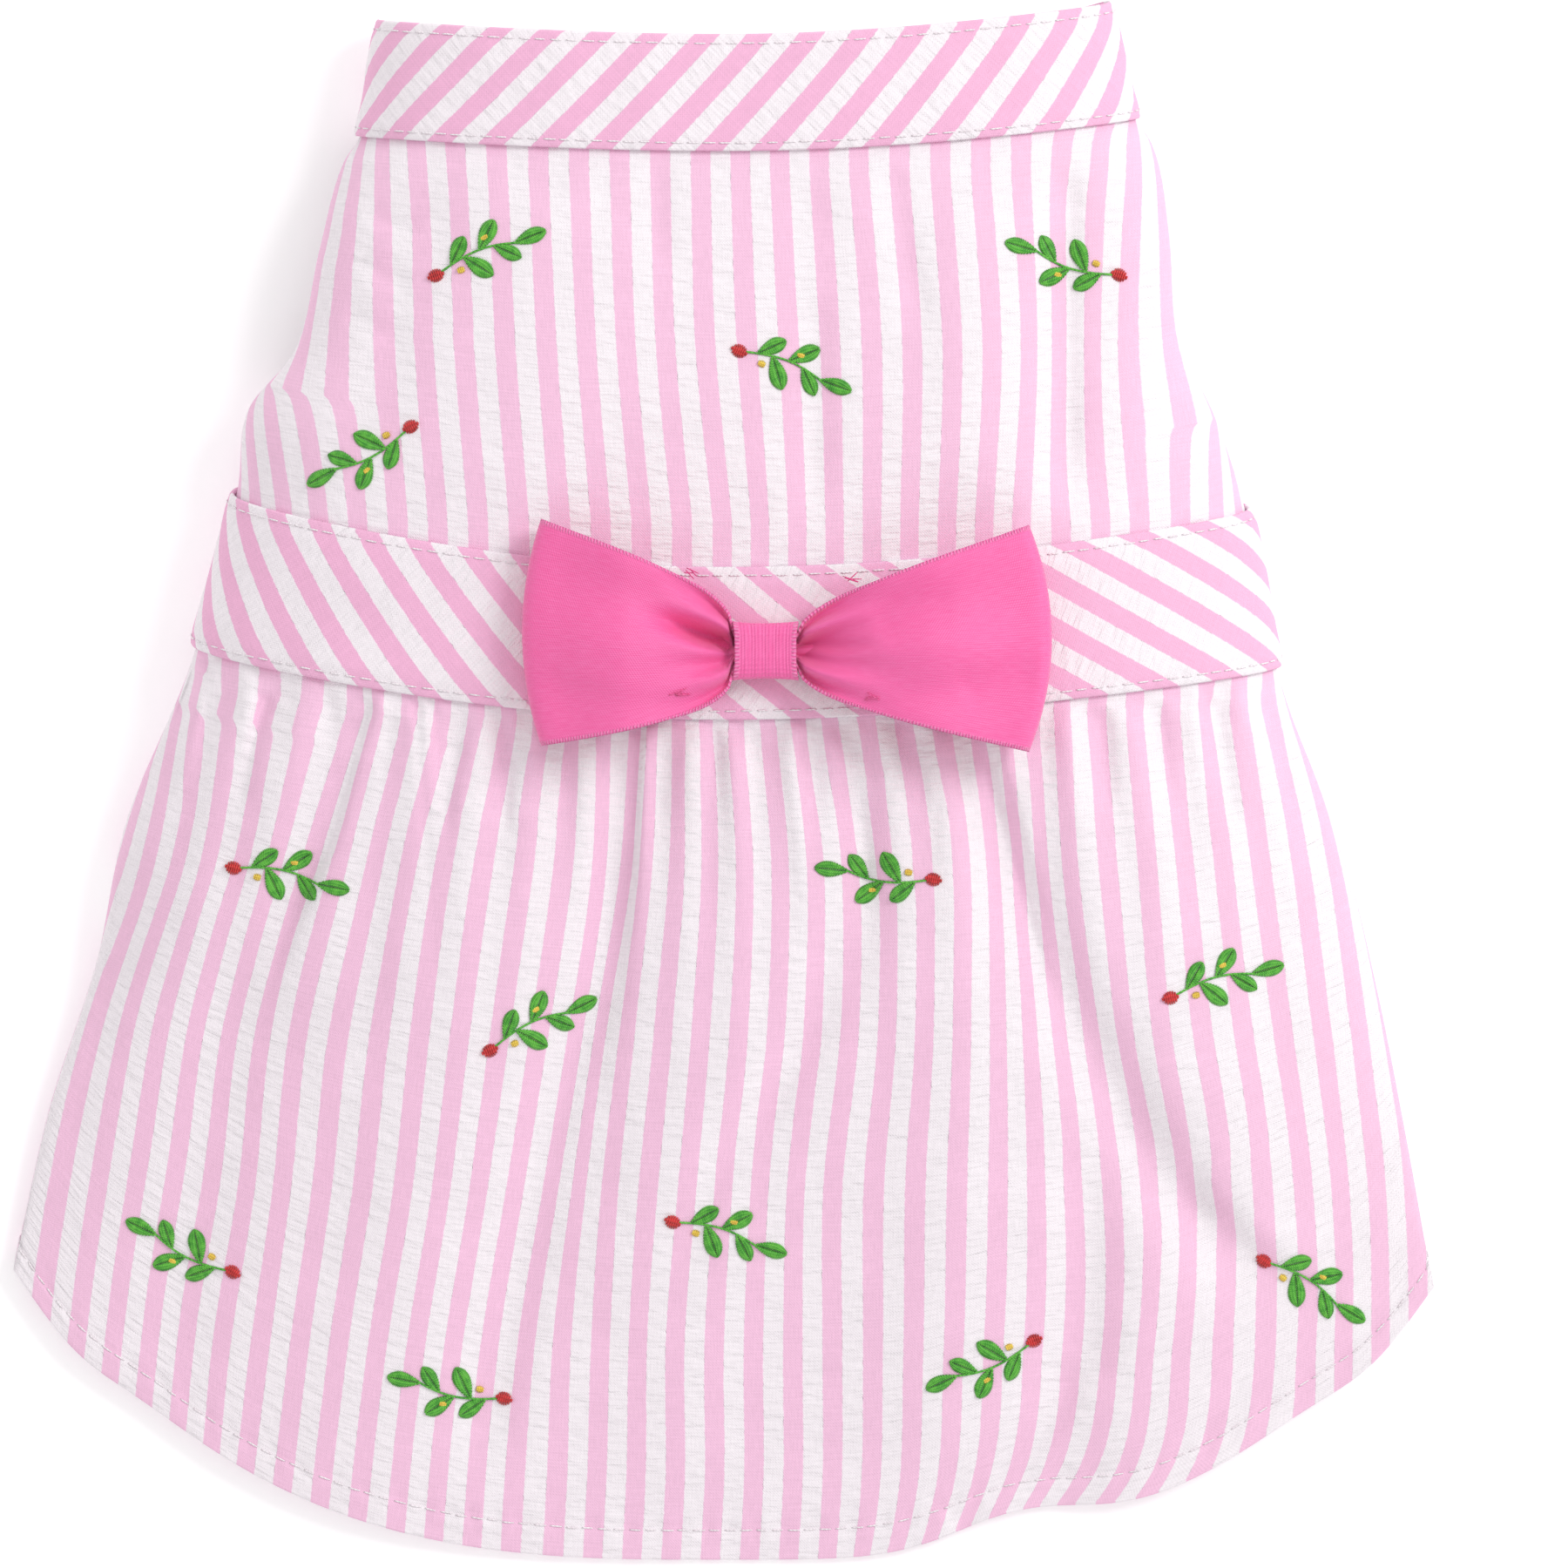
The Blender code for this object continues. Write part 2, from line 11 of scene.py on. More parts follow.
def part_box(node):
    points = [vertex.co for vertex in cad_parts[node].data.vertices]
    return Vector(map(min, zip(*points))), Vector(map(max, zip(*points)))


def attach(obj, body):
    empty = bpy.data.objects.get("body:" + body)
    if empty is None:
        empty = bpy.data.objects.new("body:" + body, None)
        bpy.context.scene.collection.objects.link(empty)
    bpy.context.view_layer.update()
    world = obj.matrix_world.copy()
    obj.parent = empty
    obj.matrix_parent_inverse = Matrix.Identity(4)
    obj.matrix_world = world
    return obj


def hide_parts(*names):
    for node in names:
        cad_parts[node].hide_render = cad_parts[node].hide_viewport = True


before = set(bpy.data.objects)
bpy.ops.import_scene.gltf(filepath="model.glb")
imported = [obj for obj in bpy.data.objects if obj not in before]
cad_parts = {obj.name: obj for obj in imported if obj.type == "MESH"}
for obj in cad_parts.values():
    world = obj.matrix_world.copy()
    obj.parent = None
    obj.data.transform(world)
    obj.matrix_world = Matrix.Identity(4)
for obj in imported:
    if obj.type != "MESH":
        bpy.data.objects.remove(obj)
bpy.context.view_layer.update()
print("frame loaded")

pixel = 0.000147
photoMiddle = (830.5, 896.5)
photoShift = -0.00033

# the body's sizes, the same as the solids use
lengths = {"neckBand": 0.0197, "bodice": 0.0697, "waistBand": 0.0256, "skirt": 0.1416}
starts = {
    "neckBand": 0.0,
    "bodice": lengths["neckBand"],
    "waistBand": lengths["neckBand"] + lengths["bodice"],
    "skirt": lengths["neckBand"] + lengths["bodice"] + lengths["waistBand"],
}
backLength = sum(lengths.values())
wall = 0.0012
gap = 0.0004
clearance = wall + gap
hemWidth = 0.2392
offFloor = 0.00006  # the cloth lies this far off the floor

# width, height, turn, lift
girths = {
    "neck": (0.1336, 0.0260, 0.0060, 0.0063),
    "chest": (0.1490, 0.0300, 0.0110, 0.0074),
    "waist": (0.1848, 0.0320, 0.0070, 0.0129),
    "hip": (0.2158, 0.0210, 0.0050, 0.0294),
    "hem": (hemWidth, 0.0042, 0.0036, 0.0500),
}
# part, along, girth, left, right, lifts left, right and under, curl, height, turn, clear, hole
sections = (
    ("neckBand", 0.00, "neck", 0.858, 0.961, 0.49, 0.98, -0.30, 0.0, 0.92, 1.00, 1.0, 0.0),
    ("neckBand", 1.00, "neck", 0.915, 1.037, 0.51, 1.00, 0.10, 0.0, 1.00, 1.05, 1.0, 0.0),
    ("bodice", 0.07, "chest", 0.857, 0.968, 0.50, 0.89, 0.20, 0.0, 0.90, 0.70, 1.0, 1.0),
    ("bodice", 0.30, "chest", 0.911, 1.007, 0.70, 1.00, 0.60, 0.0, 0.97, 1.00, 1.0, 1.0),
    ("bodice", 0.57, "chest", 0.968, 1.031, 0.89, 1.10, 1.00, 0.0, 1.02, 1.00, 1.0, 1.0),
    ("bodice", 0.76, "chest", 1.076, 1.110, 1.29, 1.19, 1.60, 0.0, 1.04, 0.75, 1.0, 0.0),
    ("waistBand", 0.00, "waist", 0.886, 0.949, 1.00, 0.80, 1.20, 0.0, 1.00, 1.00, 1.0, 0.0),
    ("waistBand", 1.00, "waist", 0.959, 1.007, 1.00, 0.72, 1.20, 0.0, 1.00, 1.00, 1.0, 0.0),
    ("skirt", 0.25, "hip", 0.930, 0.960, 0.65, 0.55, 1.00, 0.4, 1.38, 1.20, 0.0, 0.0),
    ("skirt", 0.50, "hip", 0.981, 1.019, 1.00, 0.90, 1.50, 0.7, 1.00, 1.00, 0.0, 0.0),
    ("skirt", 0.75, "hip", 1.056, 1.066, 1.35, 1.25, 2.00, 0.9, 0.58, 0.85, 0.0, 0.0),
    ("skirt", 1.00, "hem", 1.000, 1.000, 1.00, 0.94, 1.50, 1.0, 1.00, 1.00, 0.0, 0.0),
)


def smooth(value):
    value = np.clip(value, 0.0, 1.0)
    return value * value * (3.0 - 2.0 * value)


def bell(value, width):
    return np.exp(-((value / width) ** 2))


def softMax(first, second, softness):
    return 0.5 * (first + second + np.sqrt((first - second) ** 2 + softness**2))


def distanceOf(part, along):
    return starts[part] + along * lengths[part]


def sectionValues():
    table = {"d": [distanceOf(row[0], row[1]) for row in sections]}
    table["left"] = [girths[row[2]][0] / 2 * row[3] for row in sections]
    table["right"] = [girths[row[2]][0] / 2 * row[4] for row in sections]
    table["liftLeft"] = [girths[row[2]][3] * row[5] for row in sections]
    table["liftRight"] = [girths[row[2]][3] * row[6] for row in sections]
    table["liftUnder"] = [girths[row[2]][3] * row[7] for row in sections]
    table["curl"] = [row[8] for row in sections]
    table["height"] = [girths[row[2]][1] * row[9] for row in sections]
    table["turn"] = [girths[row[2]][2] * row[10] for row in sections]
    table["clear"] = [row[11] for row in sections]
    table["hole"] = [row[12] for row in sections]
    return {name: np.array(column) for name, column in table.items()}


values = sectionValues()


def valueAt(name, d):
    # a smooth curve through the sections that never overshoots them
    knots, heights = values["d"], values[name]
    steps = np.diff(knots)
    rises = np.diff(heights) / steps
    slopes = np.concatenate([rises[:1], (rises[:-1] + rises[1:]) / 2, rises[-1:]])
    slopes[1:-1][rises[:-1] * rises[1:] <= 0] = 0.0
    limit = 3 * np.minimum(np.abs(np.append(rises[0], rises)), np.abs(np.append(rises, rises[-1])))
    slopes = np.clip(slopes, -limit, limit)
    i = int(np.clip(np.searchsorted(knots, d) - 1, 0, len(steps) - 1))
    t = (d - knots[i]) / steps[i]
    blend = np.array([(1 + 2 * t) * (1 - t) ** 2, t * (1 - t) ** 2, t * t * (3 - 2 * t), t * t * (t - 1)])
    ends = np.array([heights[i], slopes[i] * steps[i], heights[i + 1], slopes[i + 1] * steps[i]])
    return float(blend @ ends)


def underLength(d):
    half = min(valueAt("left", d), valueAt("right", d))
    turn = valueAt("turn", d)
    return half - turn + turn * math.pi / 2


def halfSection(half, height, turn, floor):
    u = np.sin(np.linspace(0, math.pi / 2, 200))
    back = np.stack([half * u, floor + turn + (height - turn) * np.sqrt(1 - u**3)], axis=1)
    angle = np.linspace(0, math.pi / 2, 40)
    bend = np.stack([half - turn * (1 - np.cos(angle)), floor + turn * (1 - np.sin(angle))], axis=1)
    return back, np.vstack([bend, [[0.0, floor]]])


def alongPath(path, share):
    run = np.concatenate([[0], np.cumsum(np.linalg.norm(np.diff(path, axis=0), axis=1))])
    at = share * run[-1]
    return np.stack([np.interp(at, run, path[:, k]) for k in (0, 1)], axis=-1)


def neckDip(d, size):
    # under the neck the cloth stays behind the back's edge, out of sight from above
    return 0.0026 * smooth((size - 1.0) / 0.22) * smooth(1 - d / 0.05)


def lineLift(d, a):
    side = np.where(a < 0, valueAt("liftLeft", d), valueAt("liftRight", d))
    mean = (valueAt("liftLeft", d) + valueAt("liftRight", d)) / 2
    curl = valueAt("curl", d)
    size = np.abs(a)
    under = smooth(size - 1)
    ring = (side + (mean - side) * under) * (1 - np.cos(math.pi / 2 * np.minimum(size, 2)))
    ring = ring + (valueAt("liftUnder", d) - 2 * mean) * under
    dip = 0.0050 * bell(a - 0.42, 0.13) * curl**6
    corner = 0.0028 * bell(size - 0.92, 0.08) * curl**6
    return (1 - curl) * ring + curl * side * size**3 + dip - corner


neckY = (backLength - float(lineLift(0.0, np.linspace(1.0, 1.5, 51)).max())) / 2


def ringPoints(d, shares, offset=0.0):
    # the line round the dress at distance d, at shares from 0 on the back to 2 under the belly
    shares = np.asarray(shares, float)
    floor = clearance * valueAt("clear", d) - offset
    height = valueAt("height", d) + 2 * offset
    turn = valueAt("turn", d) + offset
    points = np.zeros((len(shares), 3))
    size = np.abs(shares)
    for sign, side in ((-1, "left"), (1, "right")):
        back, belly = halfSection(valueAt(side, d) + offset, height, turn, floor)
        onBack = alongPath(back, np.minimum(size, 1))
        onBelly = alongPath(belly, np.clip(size - 1, 0, 1))
        flat = np.where((size <= 1)[:, None], onBack, onBelly)
        mine = (shares < 0) == (sign < 0)
        points[mine, 0] = sign * flat[mine, 0]
        points[mine, 2] = flat[mine, 1]
    points[:, 1] = neckY - d + lineLift(d, shares) - neckDip(d, size)
    return points


def photoPoint(px, py):
    return (px - photoMiddle[0]) * pixel, (photoMiddle[1] - py) * pixel + photoShift


def photoY(y):
    return photoMiddle[1] - (y - photoShift) / pixel


# broad folds that the solids have too: places along the part, depth and width as shares
bodiceSwells = (
    (-0.40, 0.10, -0.46, 0.35, -0.50, 0.80, -0.16, 0.60),
    (-0.20, 0.10, -0.26, 0.45, -0.30, 0.90, 0.14, 1.20),
    (0.12, 0.05, 0.13, 0.40, 0.12, 0.85, -0.12, 0.60),
    (0.50, 0.05, 0.47, 0.40, 0.50, 0.90, -0.22, 0.65),
    (0.36, 0.10, 0.34, 0.45, 0.36, 0.90, 0.16, 0.90),
)
skirtSwells = (
    (-0.50, -0.03, -0.52, 0.14, -0.72, 0.36, -0.45, 0.50),
    (-0.33, 0.05, -0.40, 0.40, -0.52, 0.95, 0.45, 1.30),
    (-0.12, 0.02, -0.12, 0.30, -0.30, 0.82, -0.80, 0.75),
    (0.06, 0.03, 0.02, 0.35, -0.10, 0.95, 0.40, 1.10),
    (0.20, 0.06, 0.23, 0.26, -0.06, 0.68, -0.50, 0.55),
    (0.30, 0.05, 0.36, 0.45, 0.28, 0.90, 0.45, 1.00),
    (0.37, 0.03, 0.43, 0.33, 0.74, 0.68, -0.95, 0.55),
    (0.55, 0.05, 0.66, 0.35, 0.80, 0.60, 0.30, 0.90),
    (0.52, 0.46, 0.55, 0.72, 0.42, 1.00, -0.60, 0.75),
    (-0.66, 0.30, -0.72, 0.55, -0.80, 0.80, -0.35, 0.80),
)


def swellHeight(swells, part, x, y):
    total = np.zeros(x.shape)
    t = np.linspace(0, 1, 16)
    for x0, d0, x1, d1, x2, d2, depth, width in swells:
        lineX = ((1 - t) ** 2 * x0 + 2 * t * (1 - t) * x1 + t**2 * x2) * hemWidth / 2
        lineD = ((1 - t) ** 2 * d0 + 2 * t * (1 - t) * d1 + t**2 * d2) * lengths[part]
        line = np.stack([lineX, neckY - starts[part] - lineD], axis=1)
        away, along = distanceToLine(line, x, y)
        fade = smooth(along * 5 + 0.25) * smooth((1 - along) * 4 + 0.3)
        total += depth * 0.0060 * bell(away, width * 0.0100) * fade
    return total


def distanceToLine(line, x, y):
    # signed distance, positive to the left of the line's direction, and share along it
    flat = np.stack([x.ravel(), y.ravel()], axis=1)
    best = np.full(len(flat), 1e9)
    side = np.ones(len(flat))
    along = np.zeros(len(flat))
    for i in range(len(line) - 1):
        step = line[i + 1] - line[i]
        ahead = flat - line[i]
        t = np.clip(ahead @ step / (step @ step), 0, 1)
        rest = ahead - t[:, None] * step
        away = np.hypot(rest[:, 0], rest[:, 1])
        closer = away < best
        best[closer] = away[closer]
        side[closer] = np.sign(step[0] * rest[closer, 1] - step[1] * rest[closer, 0] + 1e-15)
        along[closer] = (i + t[closer]) / (len(line) - 1)
    return (best * side).reshape(x.shape), along.reshape(x.shape)


def smoothLine(places, count=20):
    points = np.array([photoPoint(px, py) for px, py in places])
    run = np.concatenate([[0], np.cumsum(np.linalg.norm(np.diff(points, axis=0), axis=1))])
    fine = np.linspace(0, run[-1], count)
    line = np.stack([np.interp(fine, run, points[:, k]) for k in (0, 1)], axis=1)
    for _ in range(3):
        line[1:-1] = (line[:-2] + 2 * line[1:-1] + line[2:]) / 4
    return line


def besideLine(line, reach, x, y):
    # the points in the line's neighbourhood, their distance from it and their share along it
    low, high = line.min(axis=0) - reach, line.max(axis=0) + reach
    near = (x > low[0]) & (x < high[0]) & (y > low[1]) & (y < high[1])
    away, along = distanceToLine(line, x[near], y[near])
    return near, away, along


def foldRelief(folds, x, y):
    # rounded ridges and creases. Lines run down the cloth, so west is the side on the photo's right
    total = np.zeros(x.shape)
    for depth, west, east, start, stop, places in folds:
        near, away, along = besideLine(smoothLine(places), 3.2 * max(west, east), x, y)
        width = np.where(away > 0, east, west)
        fade = smooth(along * start) * smooth((1 - along) * stop)
        total[near] += depth * bell(away, width) * fade
    return total


def stepRelief(steps, x, y):
    # cloth that climbs towards the photo's right across a line, and eases away on both sides
    total = np.zeros(x.shape)
    for rise, width, west, east, start, stop, places in steps:
        near, away, along = besideLine(smoothLine(places, 28), 2.6 * max(west, east), x, y)
        ease = np.where(away > 0, east, west)
        fade = smooth(along * start) * smooth((1 - along) * stop)
        total[near] += rise * np.tanh(away / width) * bell(away, ease) * fade
    return total


def wander(x, y, size, seed, count=5):
    # gentle seeded noise from a few crossing waves, about -1 to 1
    pick = np.random.default_rng(seed)
    total = np.zeros(np.shape(x))
    for _ in range(count):
        angle, stretch, phase = pick.uniform(0, math.pi), pick.uniform(0.7, 1.5), pick.uniform(0, 6.28)
        across = np.cos(angle) * x + np.sin(angle) * y
        bend = 0.9 * np.sin((np.sin(angle) * x - np.cos(angle) * y) / size * 2.1 + phase * 2)
        total = total + np.sin(across / size * 2 * math.pi / stretch + phase + bend)
    return total / count


def gridNormals(points):
    along = np.gradient(points, axis=0)
    across = np.gradient(points, axis=1)
    normals = np.cross(along, across)
    return normals / np.maximum(np.linalg.norm(normals, axis=2, keepdims=True), 1e-12)


def rowLengths(points):
    steps = np.linalg.norm(np.diff(points[:, :, [0, 2]], axis=1), axis=2)
    return np.concatenate([np.zeros((len(points), 1)), np.cumsum(steps, axis=1)], axis=1)


def addPiece(name, points, faces, mapName, loops, finish):
    mesh = bpy.data.meshes.new(name)
    mesh.from_pydata(points.tolist(), [], faces)
    layer = mesh.uv_layers.new(name=mapName)
    layer.data.foreach_set("uv", loops.astype(np.float32).ravel())
    mesh.materials.append(finish)
    mesh.shade_smooth()
    piece = bpy.data.objects.new(name, mesh)
    bpy.context.scene.collection.objects.link(piece)
    return piece


def gridMesh(name, points, maps, finish, flip=False, closed=False, capped=True):
    # a grid of quads. A closed grid joins its last row to its first; maps then has one row more
    count, width = points.shape[:2]
    index = np.arange(count * width).reshape(count, width)
    mapIndex = np.arange(len(maps) * width).reshape(len(maps), width)
    if closed:
        index = np.vstack([index, index[:1]])
    corners = [(slice(None, -1), slice(None, -1)), (slice(1, None), slice(None, -1))]
    corners += [(slice(1, None), slice(1, None)), (slice(None, -1), slice(1, None))]
    quads = np.stack([index[c] for c in corners], axis=-1).reshape(-1, 4)
    mapQuads = np.stack([mapIndex[c] for c in corners], axis=-1).reshape(-1, 4)
    if flip:
        quads, mapQuads = quads[:, ::-1], mapQuads[:, ::-1]
    faces = [quads]
    if closed and capped:
        ends = [index[:-1, 0][::-1], index[:-1, -1]]
        if flip:
            ends = [end[::-1] for end in ends]
        faces.append(np.array(ends))
    flatMaps = maps.reshape(-1, 2)
    loops = flatMaps[mapQuads.ravel()]
    if closed and capped:
        loops = np.vstack([loops, np.tile(flatMaps[0], (2 * count, 1))])
    faces = [face.tolist() for part in faces for face in part]
    return addPiece(name, points.reshape(-1, 3), faces, "clothMap", loops, finish)


def thickenPiece(piece, thickness):
    # the sheet's own face stays where it is, and the wall grows inwards
    thicken = piece.modifiers.new("wall", "SOLIDIFY")
    thicken.thickness = thickness
    thicken.offset = -1


def keepPiece(piece, nodes=()):
    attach(piece, "root")
    if nodes:
        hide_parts(*nodes)
    return piece


def threadMesh(name, runs, radius, finish, sides=6, flat=0.8):
    # runs is an array of thread centre lines, all with the same number of points
    runs = np.array(runs, float)
    runs[:, :, 2] = np.maximum(runs[:, :, 2], offFloor + radius)
    total, count = runs.shape[:2]
    along = np.gradient(runs, axis=1)
    along /= np.maximum(np.linalg.norm(along, axis=2, keepdims=True), 1e-12)
    across = np.cross(along, np.array([0.0, 0.0, 1.0]))
    across /= np.maximum(np.linalg.norm(across, axis=2, keepdims=True), 1e-12)
    rise = np.cross(across, along)
    shape = np.sin(np.linspace(0.14, 0.86, count) * math.pi) ** 0.45
    angles = np.linspace(0, 2 * math.pi, sides, endpoint=False)
    ring = radius * shape[None, :, None, None] * (
        np.cos(angles)[None, None, :, None] * across[:, :, None, :]
        + flat * np.sin(angles)[None, None, :, None] * rise[:, :, None, :]
    )
    points = (runs[:, :, None, :] + ring).reshape(-1, 3)
    index = np.arange(total * count * sides).reshape(total, count, sides)
    after = np.roll(index, -1, axis=2)
    quads = np.stack([index[:, :-1], after[:, :-1], after[:, 1:], index[:, 1:]], axis=-1).reshape(-1, 4)
    caps = np.concatenate([index[:, 0, ::-1], index[:, -1]])
    lengthMap = np.broadcast_to(np.linspace(0, 1, count)[None, :, None], index.shape)
    roundMap = np.broadcast_to(np.linspace(0, 1, sides)[None, None, :], index.shape)
    maps = np.stack([roundMap, lengthMap], axis=-1).reshape(-1, 2)
    loops = np.concatenate([quads.ravel(), caps.ravel()])
    return addPiece(name, points, quads.tolist() + caps.tolist(), "threadMap", maps[loops], finish)


print("tools ready")



class Nodes:
    # one material and the few kinds of node it is made of
    def __init__(self, name):
        self.finish = bpy.data.materials.new(name)
        self.finish.use_nodes = True
        self.tree = self.finish.node_tree
        self.shader = self.tree.nodes["Principled BSDF"]

    def add(self, kind, **sockets):
        node = self.tree.nodes.new(kind)
        for socket, value in sockets.items():
            self.join(value, node.inputs[socket.replace("_", " ")])
        return node

    def join(self, value, socket):
        if isinstance(value, bpy.types.NodeSocket):
            self.tree.links.new(value, socket)
        else:
            socket.default_value = value

    def math(self, operation, first, second=None, third=None):
        node = self.tree.nodes.new("ShaderNodeMath")
        node.operation = operation
        for socket, value in zip(node.inputs, (first, second, third)):
            if value is not None:
                self.join(value, socket)
        return node.outputs[0]

    def mapRange(self, value, fromLow, fromHigh, toLow=0.0, toHigh=1.0):
        node = self.tree.nodes.new("ShaderNodeMapRange")
        node.interpolation_type = "SMOOTHSTEP"
        for socket, item in zip(node.inputs, (value, fromLow, fromHigh, toLow, toHigh)):
            self.join(item, socket)
        return node.outputs[0]

    def mix(self, factor, first, second, blend="MIX"):
        node = self.tree.nodes.new("ShaderNodeMix")
        node.data_type = "RGBA"
        node.blend_type = blend
        self.join(factor, node.inputs[0])
        self.join(first, node.inputs[6])
        self.join(second, node.inputs[7])
        return node.outputs[2]

    def vector(self, x, y, z=0.0):
        node = self.tree.nodes.new("ShaderNodeCombineXYZ")
        for socket, value in zip(node.inputs, (x, y, z)):
            self.join(value, socket)
        return node.outputs[0]

    def noise(self, vector, scale, detail=2.0, roughness=0.5):
        node = self.tree.nodes.new("ShaderNodeTexNoise")
        self.join(vector, node.inputs["Vector"])
        node.inputs["Scale"].default_value = scale
        node.inputs["Detail"].default_value = detail
        node.inputs["Roughness"].default_value = roughness
        return node.outputs[0]

    def streaks(self, x, y, scaleX, scaleY, detail=2.0, roughness=0.5, scale=1.0):
        # noise stretched differently along its two directions
        first, second = self.math("MULTIPLY", x, scaleX), self.math("MULTIPLY", y, scaleY)
        return self.noise(self.vector(first, second), scale, detail, roughness)

    def wave(self, value, pitch):
        return self.math("SINE", self.math("MULTIPLY", value, 2 * math.pi / pitch))

    def map(self, name):
        node = self.tree.nodes.new("ShaderNodeUVMap")
        node.uv_map = name
        split = self.tree.nodes.new("ShaderNodeSeparateXYZ")
        self.tree.links.new(node.outputs[0], split.inputs[0])
        return node.outputs[0], split.outputs[0], split.outputs[1]

    def bump(self, height, distance, strength=1.0, normal=None):
        node = self.tree.nodes.new("ShaderNodeBump")
        self.join(height, node.inputs["Height"])
        node.inputs["Distance"].default_value = distance
        node.inputs["Strength"].default_value = strength
        if normal is not None:
            self.join(normal, node.inputs["Normal"])
        return node.outputs[0]

    def finishWith(self, colour, roughness, normal=None, sheen=0.0, sheenRoughness=0.5, specular=0.3):
        self.join(colour, self.shader.inputs["Base Color"])
        self.join(roughness, self.shader.inputs["Roughness"])
        self.shader.inputs["Sheen Weight"].default_value = sheen
        self.shader.inputs["Sheen Roughness"].default_value = sheenRoughness
        self.shader.inputs["Specular IOR Level"].default_value = specular
        if normal is not None:
            self.join(normal, self.shader.inputs["Normal"])
        return self.finish


cottonLook = {
    "pink": (0.925, 0.565, 0.755, 1),
    "white": (0.925, 0.862, 0.90, 1),
    "stripeEdge": 0.018,
    "threads": 15.0,
    "threadRelief": 0.00006,
    "puckerRelief": 0.00014,
    "roughness": 0.86,
}


def stripedCotton(name, look):
    # the map counts stripes across and the same measure down, a pink stripe at each whole number
    made = Nodes(name)
    place, u, v = made.map("clothMap")
    edgeNoise = made.math("SUBTRACT", made.streaks(u, v, 0.6, 1.0, 3.0, scale=9.0), 0.5)
    moved = made.math("MULTIPLY_ADD", edgeNoise, 0.05, u)
    saw = made.math("PINGPONG", moved, 0.5)
    edge = look["stripeEdge"]
    white = made.mapRange(saw, 0.247 - edge, 0.247 + edge)
    blotch = made.noise(place, 0.55, 3.0)
    tint = made.mapRange(blotch, 0.3, 0.7, 0.975, 1.0)
    threadAcross = made.wave(u, 1 / look["threads"])
    threadDown = made.wave(v, 1 / look["threads"])
    slubs = made.streaks(u, v, 24.0, 2.5)
    weftSlubs = made.streaks(u, v, 1.2, 22.0)
    weave = made.math("MULTIPLY", threadAcross, threadDown)
    yarn = made.math("ADD", slubs, weftSlubs)
    shade = made.math("MULTIPLY_ADD", made.math("SUBTRACT", yarn, 1.0), 0.16, tint)
    base = made.mix(white, look["pink"], look["white"])
    shade3 = made.vector(shade, shade, shade)
    colour = made.mix(1.0, base, shade3, "MULTIPLY")
    # the white stripes are woven slack, so they stand in small cross ripples
    rippled = made.math("SUBTRACT", made.streaks(u, v, 1.3, 4.4), 0.5)
    pucker = made.math("MULTIPLY", rippled, made.math("MULTIPLY_ADD", white, 0.92, 0.08))
    puckerNormal = made.bump(pucker, look["puckerRelief"] * 4)
    threadHeight = made.math("ADD", made.math("MULTIPLY", weave, 0.35), made.math("MULTIPLY", yarn, 0.9))
    normal = made.bump(threadHeight, look["threadRelief"], 1.0, puckerNormal)
    roughness = made.mapRange(yarn, 0.7, 1.3, look["roughness"] - 0.06, look["roughness"] + 0.06)
    return made.finishWith(colour, roughness, normal, sheen=0.12, sheenRoughness=0.6, specular=0.2)


cotton = stripedCotton("puckeredCotton", cottonLook)
bandLook = dict(cottonLook)
bandLook["pink"] = (0.905, 0.48, 0.69, 1)
biasCotton = stripedCotton("biasCotton", bandLook)

ribbonLook = {
    "pink": (0.95, 0.165, 0.445, 1),
    "deep": (0.92, 0.125, 0.385, 1),
    # edge: a lighter pink painted on the raised crests of the edge threads, a painted highlight
    "edge": (0.96, 0.27, 0.54, 1),
    "roughness": 0.42,
    "weaveRelief": 0.00004,
}


def ribbonFinish(name, look, ribbed):
    # the map runs in millimetres along the ribbon and across it
    made = Nodes(name)
    _, along, across = made.map("clothMap")
    threads = made.wave(across, 0.42)
    slant = made.math("ADD", made.math("MULTIPLY", along, 2.2), made.math("MULTIPLY", across, 1.1))
    twill = made.wave(slant, 1.0)
    blotch = made.streaks(along, across, 0.35, 3.0)
    ribs = made.wave(across, 0.55)
    mixed = made.math("MULTIPLY_ADD", twill, 0.5, made.math("MULTIPLY", threads, 0.35))
    height = made.math("ADD", made.math("MULTIPLY", ribs, 0.9 if ribbed else 0.0), mixed)
    height = made.math("MULTIPLY_ADD", blotch, 0.8, height)
    # overcast threads stand up along both woven edges
    half = 4.9 if ribbed else 19.0
    fromEdge = made.math("SUBTRACT", half, made.math("ABSOLUTE", across))
    atEdge = made.mapRange(fromEdge, 0.55, 0.95, 1.0, 0.0)
    overcast = made.wave(along, 0.62)
    edgeHeight = made.math("MULTIPLY", made.math("MULTIPLY_ADD", overcast, 2.2, 2.4), atEdge)
    height = made.math("ADD", height, edgeHeight)
    variation = made.mapRange(made.math("MULTIPLY_ADD", mixed, 0.16, blotch), 0.25, 0.8)
    body = made.mix(variation, look["deep"], look["pink"])
    # the crests of the edge threads take the lighter pink, a painted highlight where they stand up
    colour = made.mix(made.math("MULTIPLY", atEdge, made.mapRange(overcast, -0.6, 0.8)), body, look["edge"])
    normal = made.bump(height, look["weaveRelief"])
    roughness = made.mapRange(blotch, 0.2, 0.8, look["roughness"] - 0.05, look["roughness"] + 0.07)
    return made.finishWith(colour, roughness, normal, sheen=0.35, sheenRoughness=0.35, specular=0.45)


ribbon = ribbonFinish("satinRibbon", ribbonLook, False)
knotRibbon = ribbonFinish("knotRibbon", ribbonLook, True)


